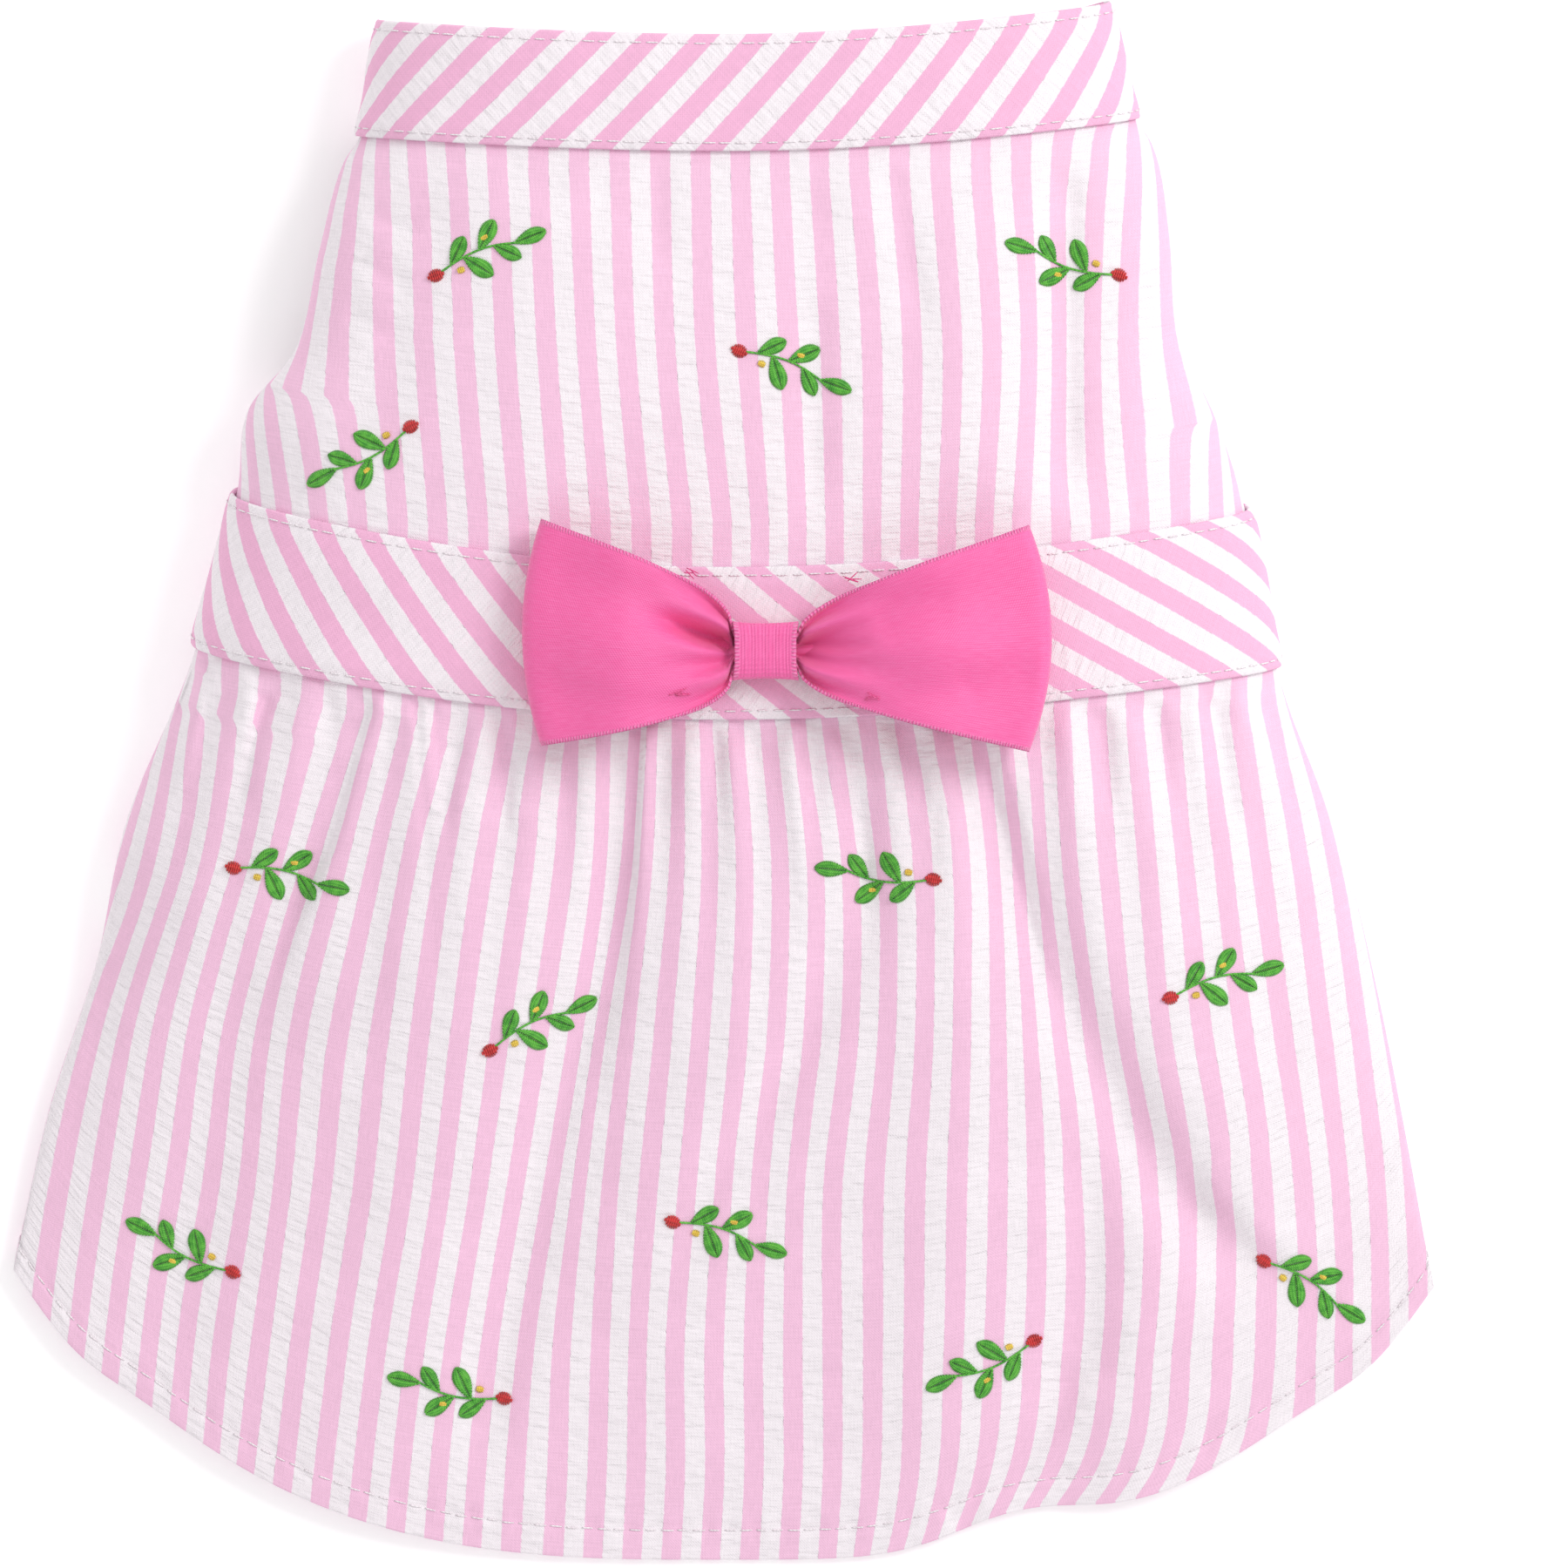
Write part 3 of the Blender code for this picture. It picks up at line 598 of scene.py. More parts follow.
def threadFinish(name, colour, dark, roughness=0.6):
    made = Nodes(name)
    _, around, along = made.map("threadMap")
    twist = made.wave(made.math("MULTIPLY_ADD", along, 3.0, around), 1.0)
    coordinates = made.tree.nodes.new("ShaderNodeTexCoord").outputs["Object"]
    patch = made.noise(coordinates, 900.0, 2.0)
    blend = made.math("MULTIPLY_ADD", twist, 0.12, patch)
    tone = made.mix(made.mapRange(blend, 0.25, 0.7), dark, colour)
    normal = made.bump(twist, 0.00003)
    return made.finishWith(tone, roughness, normal, sheen=0.2, sheenRoughness=0.4, specular=0.35)


whiteThread = threadFinish("whiteThread", (0.93, 0.88, 0.905, 1), (0.82, 0.74, 0.78, 1))
pinkThread = threadFinish("pinkThread", (0.88, 0.13, 0.36, 1), (0.72, 0.08, 0.26, 1))
greenThread = threadFinish("greenThread", (0.14, 0.52, 0.06, 1), (0.05, 0.30, 0.03, 1), 0.5)
budThread = threadFinish("budThread", (0.72, 0.05, 0.05, 1), (0.45, 0.03, 0.03, 1), 0.5)
dotThread = threadFinish("dotThread", (0.90, 0.66, 0.10, 1), (0.70, 0.45, 0.06, 1), 0.5)


def tapeFinish(name):
    made = Nodes(name)
    place, _, across = made.map("clothMap")
    hooks = made.noise(place, 1.6, 2.0)
    rows = made.wave(across, 0.9)
    tone = made.mix(hooks, (0.80, 0.79, 0.80, 1), (0.92, 0.91, 0.92, 1))
    normal = made.bump(made.math("MULTIPLY_ADD", rows, 0.4, hooks), 0.0002)
    return made.finishWith(tone, made.mapRange(hooks, 0.3, 0.7, 0.7, 0.9), normal, sheen=0.1)


tape = tapeFinish("hookAndLoopTape")
print("materials ready")

period = 46 * pixel

# where chosen stripes run, as photo places down the cloth: stripe number, then x at each y
bodiceStripes = {
    "y": (200, 400, 600),
    -12: (365, 310, 330),
    -9: (440, 445, 460),
    -5: (620, 630, 645),
    -1: (805, 810, 830),
    3: (985, 1000, 1000),
    7: (1170, 1180, 1170),
    10: (1300, 1290, 1305),
    12: (1370, 1390, 1395),
}
# two pleats at the waist swallow cloth, where -13 and -12, and -4 and -3, run together
skirtStripes = {
    "y": (820, 1000, 1180, 1360, 1540, 1700, 1790),
    -18: (205, 170, 110, 70, 45, 35, 30),
    -13: (415, 355, 305, 285, 255, 240, 230),
    -12: (435, 390, 345, 325, 300, 280, 270),
    -9: (550, 510, 485, 465, 435, 415, 405),
    -5: (695, 690, 665, 635, 605, 590, 585),
    -4: (735, 720, 690, 665, 645, 640, 635),
    -3: (750, 740, 720, 700, 690, 685, 680),
    -1: (810, 815, 805, 790, 775, 775, 770),
    3: (950, 975, 975, 955, 955, 955, 950),
    7: (1120, 1140, 1145, 1145, 1140, 1125, 1090),
    10: (1215, 1225, 1250, 1275, 1275, 1240, 1170),
    12: (1300, 1315, 1330, 1360, 1355, 1325, 1245),
    15: (1420, 1445, 1470, 1495, 1500, 1475, 1400),
    18: (1530, 1560, 1590, 1620, 1625, 1605, 1565),
}


def smoothColumn(heights, column):
    # a smooth curve through the few places given
    heights, column = np.array(heights, float), np.array(column, float)
    slopes = np.gradient(column, heights)
    fine = np.linspace(heights[0], heights[-1], 200)
    i = np.clip(np.searchsorted(heights, fine) - 1, 0, len(heights) - 2)
    step = heights[i + 1] - heights[i]
    t = (fine - heights[i]) / step
    start = (1 + 2 * t) * (1 - t) ** 2 * column[i] + t * (1 - t) ** 2 * slopes[i] * step
    finish = t * t * (3 - 2 * t) * column[i + 1] + t * t * (t - 1) * slopes[i + 1] * step
    return fine, start + finish


def stripeNumbers(points, shares, stripes):
    # counts stripes along each row by the cloth's own length between the places given
    run = rowLengths(points)
    knots = sorted(key for key in stripes if key != "y")
    columns = {knot: smoothColumn(stripes["y"], stripes[knot]) for knot in knots}
    back = np.abs(shares) <= 1.0
    numbers = np.zeros(run.shape)
    for i, row in enumerate(points):
        x, y = row[back, 0], photoY(row[back, 1])
        length = run[i][back]
        places = []
        for knot in knots:
            gapX = x - (np.interp(y, *columns[knot]) - photoMiddle[0]) * pixel
            gapX = np.maximum.accumulate(gapX)
            if gapX[0] > 0:
                places.append(length[0] - gapX[0])
            elif gapX[-1] < 0:
                places.append(length[-1] - gapX[-1])
            else:
                places.append(float(np.interp(0.0, gapX, length)))
        places = np.array(places)
        inside = np.interp(run[i], places, knots)
        before = knots[0] + (run[i] - places[0]) / period
        beyond = knots[-1] + (run[i] - places[-1]) / period
        numbers[i] = np.where(run[i] < places[0], before, np.where(run[i] > places[-1], beyond, inside))
    return numbers


def puckerRelief(u, v, depth, seed):
    # small cross ripples in the slack white stripes
    white = smooth((np.abs((u % 1.0) - 0.5) * -1 + 0.30) / 0.16)
    stripe = np.floor(u)
    phase = np.sin(stripe * 12.9898 + seed) * 43.0
    uneven = 1.7 * np.sin(v * 2.3 + phase * 1.3) + 1.4 * np.sin(u * 4.0 + phase)
    ripple = np.sin(v * 2 * math.pi * 2.6 + phase + uneven)
    strength = 0.55 + 0.45 * np.sin(v * 1.31 + phase * 0.7)
    return depth * white * ripple * strength


# the skirt

skirtLook = {
    "step": 0.00080,
    "tuck": 0.0260,
    "hemDepth": 0.0050,
    "hemRise": 0.00016,
    "hemDent": 0.00014,
    "hemWaves": 1.37,
    "edgeRadius": 0.00042,
    "swell": 0.55,
    "pucker": 0.00007,
    "crinkle": 0.00010,
    "gathers": 72,
}
# shaded slopes and pleats seen in the photo, listed down the cloth
skirtSteps = (
    # half the rise, how steep, reach on both sides, fading in and out, photo places
    (0.0009, 0.00065, 0.0045, 0.0065, 30, 2,
     ((436, 800), (412, 880), (392, 960), (352, 1040), (322, 1120), (300, 1220))),
    (0.0005, 0.0026, 0.005, 0.007, 6, 3, ((500, 860), (476, 960), (452, 1080), (440, 1200))),
    (0.0011, 0.0006, 0.004, 0.005, 30, 2, ((742, 800), (735, 900), (731, 1010), (722, 1085), (700, 1150))),
    (0.0019, 0.0042, 0.0095, 0.0085, 6, 5,
     ((728, 900), (718, 1116), (668, 1240), (634, 1350), (604, 1500), (566, 1728))),
    (0.0009, 0.0013, 0.004, 0.005, 30, 2, ((897, 800), (906, 900), (917, 1000), (922, 1090), (912, 1170))),
    (0.0007, 0.0011, 0.003, 0.0045, 6, 3, ((985, 880), (997, 960), (1012, 1050))),
    (0.0011, 0.0024, 0.006, 0.006, 6, 3,
     ((958, 1168), (905, 1257), (848, 1330), (812, 1400), (780, 1490))),
    (0.0007, 0.0007, 0.0035, 0.005, 30, 3,
     ((1122, 830), (1142, 900), (1168, 990), (1196, 1090), (1225, 1180))),
    (0.0004, 0.0006, 0.0022, 0.003, 20, 3, ((1143, 850), (1164, 930), (1190, 1020), (1214, 1110))),
    (0.0013, 0.006, 0.012, 0.014, 5, 6,
     ((1150, 880), (1184, 1010), (1222, 1130), (1268, 1240), (1322, 1320), (1350, 1372), (1334, 1440))),
    (0.001, 0.0026, 0.0055, 0.006, 6, 3, ((1356, 1340), (1400, 1390), (1470, 1450), (1530, 1480))),
    (0.001, 0.0045, 0.009, 0.009, 6, 3, ((1262, 1300), (1268, 1440), (1262, 1600), (1240, 1700))),
    (0.0011, 0.0022, 0.006, 0.006, 6, 30, ((1250, 1560), (1215, 1640), (1160, 1705), (1105, 1765))),
    (0.0009, 0.005, 0.01, 0.01, 6, 3, ((196, 980), (150, 1120), (108, 1260), (80, 1400))),
    (0.0007, 0.001, 0.003, 0.004, 30, 3, ((1392, 800), (1412, 880), (1424, 960))),
    (0.0008, 0.0009, 0.0026, 0.0036, 30, 3, ((232, 770), (214, 850), (196, 930))),
    (0.0009, 0.0009, 0.0026, 0.0036, 30, 3, ((318, 800), (300, 860), (284, 940))),
    (0.0007, 0.0008, 0.0022, 0.003, 30, 3, ((536, 850), (528, 900), (522, 960))),
    (0.0006, 0.0008, 0.0022, 0.003, 30, 3, ((596, 860), (590, 910), (586, 960))),
    (0.0006, 0.0008, 0.002, 0.0026, 30, 3, ((1052, 825), (1060, 880), (1066, 940))),
    (0.0006, 0.001, 0.0026, 0.0034, 30, 3, ((1268, 815), (1274, 870), (1280, 940))),
    (0.0006, 0.001, 0.0026, 0.0034, 30, 3, ((1330, 805), (1340, 870), (1348, 930))),
)


def gatherRelief(x, below, count, depth, reach, seed, low, high):
    # many small tucks drawn up along a seam, each fading away from it
    pick = np.random.default_rng(seed)
    total = np.zeros(x.shape)
    places = np.linspace(low, high, count) + pick.uniform(-0.4, 0.4, count) * (high - low) / count
    for place in places:
        width = pick.uniform(0.0007, 0.0016)
        lean = pick.uniform(-0.12, 0.12)
        size = depth * pick.uniform(-1.0, 0.7)
        length = reach * pick.uniform(0.4, 1.5)
        total += size * bell(x - place - lean * below, width) * np.exp(-below / length)
    return total


def makeSkirt():
    look = skirtLook
    first = [distanceOf("waistBand", share) for share in (0.54, 0.70, 0.84, 0.94)]
    end = starts["skirt"] + lengths["skirt"] - look["edgeRadius"]
    down = np.linspace(starts["skirt"], end, int(lengths["skirt"] / look["step"]))
    distances = np.concatenate([first, down])
    backCount = int(0.118 / look["step"])
    tuckCount = int(look["tuck"] / 0.0016)
    back = np.linspace(0, 1, backCount)
    tuckShare = np.linspace(0, 1, tuckCount + 1)[1:]
    points, shares = [], None
    for d in distances:
        half = np.concatenate([back, 1 + look["tuck"] / underLength(d) * tuckShare])
        shares = np.concatenate([-half[:0:-1], half])
        points.append(ringPoints(d, shares))
    points = np.array(points)
    counted = np.concatenate([-(1 + tuckShare)[::-1], -back[:0:-1], back, 1 + tuckShare])
    size = np.abs(counted)[None, :]
    below = np.clip((distances - starts["skirt"]) / lengths["skirt"], -0.2, 1)[:, None]
    curl = np.array([valueAt("curl", d) for d in distances])[:, None]
    x, y = points[:, :, 0], points[:, :, 1]
    onBack = smooth((1.0 - size) / 0.12)
    started = smooth(below / 0.05)
    shape = look["swell"] * swellHeight(skirtSwells, "skirt", x, y)
    strength = smooth(below / 0.03) * np.exp(-np.maximum(below, 0) / 0.16)
    shape = shape + 0.0011 * strength * np.sin(2 * math.pi * 11 * counted + 2.0 * np.sin(5 * counted))
    height = onBack * started * shape
    fine = stepRelief(skirtSteps, x, y)
    belowMetres = np.maximum(below, 0) * lengths["skirt"]
    gathers = gatherRelief(x, belowMetres, look["gathers"], 0.00105, 0.012, 4, -0.098, 0.104)
    height = height + smooth((1.0 - size) / 0.05) * smooth(below / 0.012) * (fine + gathers)
    crinkled = smooth(below / 0.03) * smooth((1.02 - size) / 0.04)
    height = height + look["crinkle"] * wander(x, y, 0.013, 8) * crinkled
    raised = points[:, :, 2] + height
    settle = (0.0042 - wall) * smooth(1 - size / 0.7) * curl**4
    overTuck = smooth((size - 0.60) / 0.10)
    least = wall + (wall + gap) * overTuck
    points[:, :, 2] = np.where(size < 0.97, softMax(raised - settle, least, 0.0004), points[:, :, 2])
    numbers = stripeNumbers(points, counted, skirtStripes)
    downRun = np.cumsum(np.concatenate([[0], np.diff(distances)])) / period
    maps = np.stack([numbers, np.broadcast_to(downRun[:, None], numbers.shape)], axis=-1)
    pucker = puckerRelief(numbers, maps[:, :, 1], look["pucker"], 1.0)
    # the hem's stitching draws its edge into small waves
    fromEnd = (end - distances)[:, None]
    aboveSeam = fromEnd - look["hemDepth"]
    drawn = np.sin(numbers * 2 * math.pi * look["hemWaves"] + 2 * np.sin(numbers))
    hemWave = look["hemRise"] * bell(aboveSeam, 0.0022) * drawn
    hemStep = look["hemRise"] * smooth(-aboveSeam / 0.0012) - look["hemDent"] * bell(aboveSeam, 0.0007)
    fade = smooth(below / 0.01) * smooth((1.25 - size) / 0.2)
    points = points + gridNormals(points) * (fade * (pucker + hemWave) + fade * hemStep)[:, :, None]
    points[:, :, 2] = np.maximum(points[:, :, 2], 0.00105)
    # the hem turns under
    out = points[-1] - points[-4]
    out[:, 2] = 0
    out /= np.maximum(np.linalg.norm(out, axis=1, keepdims=True), 1e-12)
    turned, turnedMaps = [], []
    radius = look["edgeRadius"]
    for angle in (0.6, 1.2, 1.9, 2.5, math.pi):
        drop = np.array([0, 0, -radius * (1 - math.cos(angle))])
        turned.append(points[-1] + out * radius * math.sin(angle) + drop)
        turnedMaps.append(maps[-1] + np.array([0, radius * angle / period]))
    for rows in (2, 4, 6):
        turned.append(points[-1 - rows] + np.array([0, 0, -2 * radius]))
        turnedMaps.append(maps[-1] + np.array([0, rows * look["step"] / period]))
    points = np.concatenate([points, turned])
    maps = np.concatenate([maps, turnedMaps])
    points[:, :, 2] = np.maximum(points[:, :, 2], 0.00012)
    piece = gridMesh("skirtCloth", points, maps, cotton)
    keepPiece(piece, ("skirt",))
    return piece, points, counted, distances


skirtCloth, skirtPoints, skirtShares, skirtDistances = makeSkirt()
print("skirt made", len(skirtCloth.data.polygons))

# the bodice

bodiceLook = {"step": 0.00080, "pucker": 0.00007, "crinkle": 0.00009, "edge": 0.0030, "edgeRadius": 0.00042}
bodiceFolds = (
    # depth, width on both sides, fading in and out, photo places
    (-0.0006, 0.003, 0.0024, 8, 4, ((756, 180), (754, 234), (760, 320))),
    (-0.0007, 0.003, 0.0022, 8, 4, ((1020, 190), (1036, 280), (1062, 396))),
    (-0.0013, 0.0034, 0.0022, 8, 4, ((1224, 175), (1222, 330), (1224, 480), (1222, 600))),
    (-0.0007, 0.003, 0.0026, 8, 4, ((936, 340), (938, 460), (936, 620))),
    (-0.0006, 0.0016, 0.002, 8, 4, ((420, 240), (452, 262), (492, 270))),
    (-0.0006, 0.0016, 0.002, 8, 4, ((410, 300), (446, 322), (480, 330))),
    (-0.0005, 0.0016, 0.002, 8, 4, ((396, 360), (436, 384), (476, 392))),
)


def makeBackPanel():
    look = bodiceLook
    first, last = distanceOf("neckBand", 0.55), distanceOf("waistBand", 0.46)
    distances = np.linspace(first, last, int((last - first) / look["step"]))
    backCount = int(0.085 / look["step"])
    back = np.linspace(0, 1, backCount)
    turnShare = np.linspace(0, 1, 13)[1:]
    points = []
    for d in distances:
        hole = valueAt("hole", d) if d > starts["bodice"] else 0.0
        edge = max(0.0120 / underLength(d) * (1 - hole), 0.004)
        half = np.concatenate([back, 1 + edge * turnShare])
        points.append(ringPoints(d, np.concatenate([-half[:0:-1], half])))
    points = np.array(points)
    counted = np.concatenate([-(1 + turnShare)[::-1], -back[:0:-1], back, 1 + turnShare])
    size = np.abs(counted)[None, :]
    down = ((distances - starts["bodice"]) / lengths["bodice"])[:, None]
    x, y = points[:, :, 0], points[:, :, 1]
    free = smooth(down / 0.12) * smooth((1 - down) / 0.12) * smooth((1.0 - size) / 0.12)
    points[:, :, 2] += free * swellHeight(bodiceSwells, "bodice", x, y)
    inside = smooth(down / 0.05) * smooth((1 - down) / 0.05)
    fine = foldRelief(bodiceFolds, x, y)
    fromTop = np.maximum(down, 0) * lengths["bodice"]
    fromBottom = np.maximum(1 - down, 0) * lengths["bodice"]
    fine = fine + gatherRelief(x, fromTop, 26, 0.00028, 0.006, 11, -0.062, 0.066)
    fine = fine + gatherRelief(x, fromBottom, 30, 0.00035, 0.007, 12, -0.080, 0.086)
    fine = fine + look["crinkle"] * wander(x, y, 0.012, 21)
    points[:, :, 2] += inside * smooth((1.0 - size) / 0.05) * fine
    numbers = stripeNumbers(points, counted, bodiceStripes)
    downRun = (distances - first) / period
    maps = np.stack([numbers, np.broadcast_to(downRun[:, None], numbers.shape)], axis=-1)
    pucker = puckerRelief(numbers, maps[:, :, 1], look["pucker"], 3.0)
    points = points + gridNormals(points) * (inside * pucker)[:, :, None]
    # both side edges turn in, as a narrow hem round the leg holes
    for sign in (-1, 1):
        edge, before = (points[:, 0], points[:, 3]) if sign < 0 else (points[:, -1], points[:, -4])
        out = edge - before
        out /= np.maximum(np.linalg.norm(out, axis=1, keepdims=True), 1e-12)
        normal = gridNormals(points)[:, 0 if sign < 0 else -1]
        radius = look["edgeRadius"]
        extra, extraMaps = [], []
        edgeMap = maps[:, 0 if sign < 0 else -1]
        for angle in (0.7, 1.5, 2.3, math.pi):
            extra.append(edge + out * radius * math.sin(angle) - normal * radius * (1 - math.cos(angle)))
            extraMaps.append(edgeMap + np.array([sign * radius * angle / period, 0]))
        for share in (0.5, 1.0):
            extra.append(edge - out * look["edge"] * share - normal * 2.2 * radius)
            extraMaps.append(edgeMap + np.array([sign * look["edge"] * share / period, 0]))
        extra, extraMaps = np.stack(extra, axis=1), np.stack(extraMaps, axis=1)
        if sign < 0:
            points = np.concatenate([extra[:, ::-1], points], axis=1)
            maps = np.concatenate([extraMaps[:, ::-1], maps], axis=1)
        else:
            points = np.concatenate([points, extra], axis=1)
            maps = np.concatenate([maps, extraMaps], axis=1)
    piece = gridMesh("backPanelCloth", points, maps, cotton)
    return keepPiece(piece, ("back_panel",))


backPanelCloth = makeBackPanel()
print("back panel made", len(backPanelCloth.data.polygons))

chestLook = {"step": 0.0020, "wall": 0.0006, "holeDepth": 0.0240}


def makeChestPanel():
    look = chestLook
    first, last = distanceOf("neckBand", 0.55), distanceOf("waistBand", 0.46)
    distances = np.linspace(first, last, int((last - first) / look["step"]))
    away = np.linspace(-1, 1, 81)
    points = []
    for d in distances:
        hole = valueAt("hole", d) if d > starts["bodice"] else 0.0
        edge = 1 + (0.0132 + look["holeDepth"] * hole) / underLength(d)
        size = 2 - np.abs(away) * (2 - edge)
        points.append(ringPoints(d, np.where(away < 0, -size, size)))
    points = np.array(points)
    points[:, :, 2] += 0.00025 * (wander(points[:, :, 0], points[:, :, 1], 0.012, 31) + 1)
    numbers = points[:, :, 0] / period
    downRun = np.broadcast_to(((distances - first) / period)[:, None], numbers.shape)
    piece = gridMesh("chestPanelCloth", points, np.stack([numbers, downRun], axis=-1), cotton, flip=True)
    thickenPiece(piece, look["wall"])
    return keepPiece(piece, ("chest_panel",))


chestPanelCloth = makeChestPanel()
print("chest panel made")

# the two bias bands

neckBandLook = {
    "part": "neckBand",
    "node": "neck_band",
    "step": 0.00080,
    "stitchLines": (0.0016, 0.0183),
    "slantLeft": 50,
    "slantRight": 45,
    "up": True,
    "phase": 0.30,
    "pucker": 0.00011,
    "roll": 0.00016,
}
waistBandLook = {
    "part": "waistBand",
    "node": "waist_band",
    "step": 0.00080,
    "stitchLines": (0.0015, 0.0241),
    "slantLeft": 49,
    "slantRight": 34,
    "up": False,
    "phase": 0.55,
    "pucker": 0.00011,
    "roll": 0.00016,
}
stitchLook = {"pitch": 0.0027, "length": 0.0019, "radius": 0.00014, "sink": 0.00022, "lift": 0.00010}


def bandSurface(look, down):
    # how far the band's outer face stands off the body at each distance down the band
    length = lengths[look["part"]]
    fromEdge = np.minimum(down, length - down)
    rise = clearance - 0.00055 * np.exp(-fromEdge / 0.0011)
    for line in look["stitchLines"]:
        rise = rise - stitchLook["sink"] * bell(down - line, 0.00055)
    return rise


def makeBand(look):
    part = look["part"]
    length = lengths[part]
    radius = 0.00034
    outer = np.linspace(radius, length - radius, int(length / look["step"]))
    rise = bandSurface(look, outer)
    low = 0.00042
    # the cross-section: outer face down, round the lower fold, inner face up, round the upper fold
    section = [(d, r, True) for d, r in zip(outer, rise)]
    section += [(length, (rise[-1] + low) / 2 + 0.0001, False), (length - 0.0002, low + 0.0001, False)]
    section += [(d, low, False) for d in np.linspace(length - 2 * radius, 2 * radius, 7)]
    section += [(0.0002, low + 0.0001, False), (0.0, (rise[0] + low) / 2 + 0.0001, False)]
    around = 2 * (valueAt("left", starts[part]) + valueAt("right", starts[part]))
    half = np.linspace(0, 1, int(around / 4 / look["step"]))
    points = []
    for down, offset, isOuter in section:
        d = starts[part] + down
        end = 2 - 0.0030 / 2 / (valueAt("left", d) - valueAt("turn", d) * (1 - math.pi / 2))
        shares = np.concatenate([half, 1 + (end - 1) * half[1:]])
        points.append(ringPoints(d, np.concatenate([-shares[:0:-1], shares]), offset))
    points = np.array(points)
    counted = np.concatenate([half, 1 + half[1:]])
    counted = np.concatenate([-counted[:0:-1], counted])
    middle = len(outer) // 2
    run = rowLengths(points)[middle]
    run = run - run[len(run) // 2]
    share = smooth((run / 0.09 + 1) / 2)
    slant = np.radians(look["slantLeft"] + (look["slantRight"] - look["slantLeft"]) * share)
    across = np.concatenate([[0], np.cumsum(np.diff(run) * (np.sin(slant)[1:] + np.sin(slant)[:-1]) / 2)])
    across = across - across[len(across) // 2]
    turnSign = 1 if look["up"] else -1
    downs = np.array([item[0] for item in section])
    sideways = np.broadcast_to(across[None, :], points.shape[:2])
    numbers = (sideways + turnSign * downs[:, None] * np.cos(slant)[None, :]) / period + look["phase"]
    # the thread direction runs along each stripe
    along = (np.cumsum(np.concatenate([[0], np.diff(run)])) * np.cos(slant))[None, :]
    alongStripe = (along - turnSign * downs[:, None] * np.sin(slant)[None, :]) / period
    maps = np.stack([numbers, alongStripe], axis=-1)
    isOuter = np.array([item[2] for item in section])[:, None]
    fromEdge = np.minimum(downs, length - downs)[:, None]
    puff = puckerRelief(numbers, alongStripe, look["pucker"], 5.0)
    runGrid, downGrid = np.broadcast_arrays(run[None, :], downs[:, None])
    roll = look["roll"] * wander(runGrid, downGrid, 0.010, 41)
    pull = np.zeros(numbers.shape)
    for line in look["stitchLines"]:
        near = bell(downs[:, None] - line, 0.0009)
        pull = pull + 0.00009 * near * np.cos(2 * math.pi * run[None, :] / stitchLook["pitch"])
    relief = isOuter * (smooth(fromEdge / 0.0008) * (puff + roll) + pull)
    normals = gridNormals(points)
    points = points + normals * relief[:, :, None]
    points[:, :, 2] = np.maximum(points[:, :, 2], offFloor)
    maps = np.concatenate([maps, maps[:1]])
    piece = gridMesh(look["node"].replace("_b", "B") + "Cloth", points, maps, biasCotton, closed=True)
    keepPiece(piece, (look["node"],))
    return piece, points[: len(outer)], outer


neckBandCloth, neckPoints, neckDowns = makeBand(neckBandLook)
waistBandCloth, waistPoints, waistDowns = makeBand(waistBandLook)
print("bands made", len(neckBandCloth.data.polygons), len(waistBandCloth.data.polygons))


def stitchRuns(line, look):
    # cuts a line on the cloth into stitches that dip at both ends
    run = np.concatenate([[0], np.cumsum(np.linalg.norm(np.diff(line, axis=0), axis=1))])
    pick = np.random.default_rng(len(line))
    begins = np.arange(0.001, run[-1] - look["length"], look["pitch"])
    runs = []
    for begin in begins:
        length = look["length"] * pick.uniform(0.9, 1.1)
        at = begin + np.linspace(0, 1, 6) * length
        points = np.stack([np.interp(at, run, line[:, k]) for k in range(3)], axis=1)
        bow = np.sin(np.linspace(0, 1, 6) * math.pi) ** 0.5
        points[:, 2] += 0.00008 * (bow - 0.35)
        points[:, 1] += pick.uniform(-0.00004, 0.00004)
        runs.append(points)
    return runs


def outwardShift(points, amount):
    return points + gridNormals(points) * amount


def rowAt(points, downs, at):
    # the line across a grid of points at one distance down it
    columns = range(points.shape[1])
    return np.array([[np.interp(at, downs, points[:, j, k]) for k in range(3)] for j in columns])


def makeStitches():
    lift, radius = stitchLook["lift"], stitchLook["radius"]
    runs = []
    bands = ((neckBandLook, neckPoints, neckDowns), (waistBandLook, waistPoints, waistDowns))
    for look, points, downs in bands:
        lifted = outwardShift(points, lift)
        for line in look["stitchLines"]:
            runs += stitchRuns(rowAt(lifted, downs, line), stitchLook)
    onBands = keepPiece(threadMesh("bandStitches", runs, radius, whiteThread))
    lifted = outwardShift(skirtPoints[: len(skirtDistances)], lift)
    at = starts["skirt"] + lengths["skirt"] - skirtLook["hemDepth"]
    hem = rowAt(lifted, skirtDistances, at)[np.abs(skirtShares) < 1.6]
    onHem = keepPiece(threadMesh("hemStitches", stitchRuns(hem, stitchLook), radius, whiteThread))
    return onBands, onHem


bandStitches, hemStitches = makeStitches()
print("stitches made")

# the bow

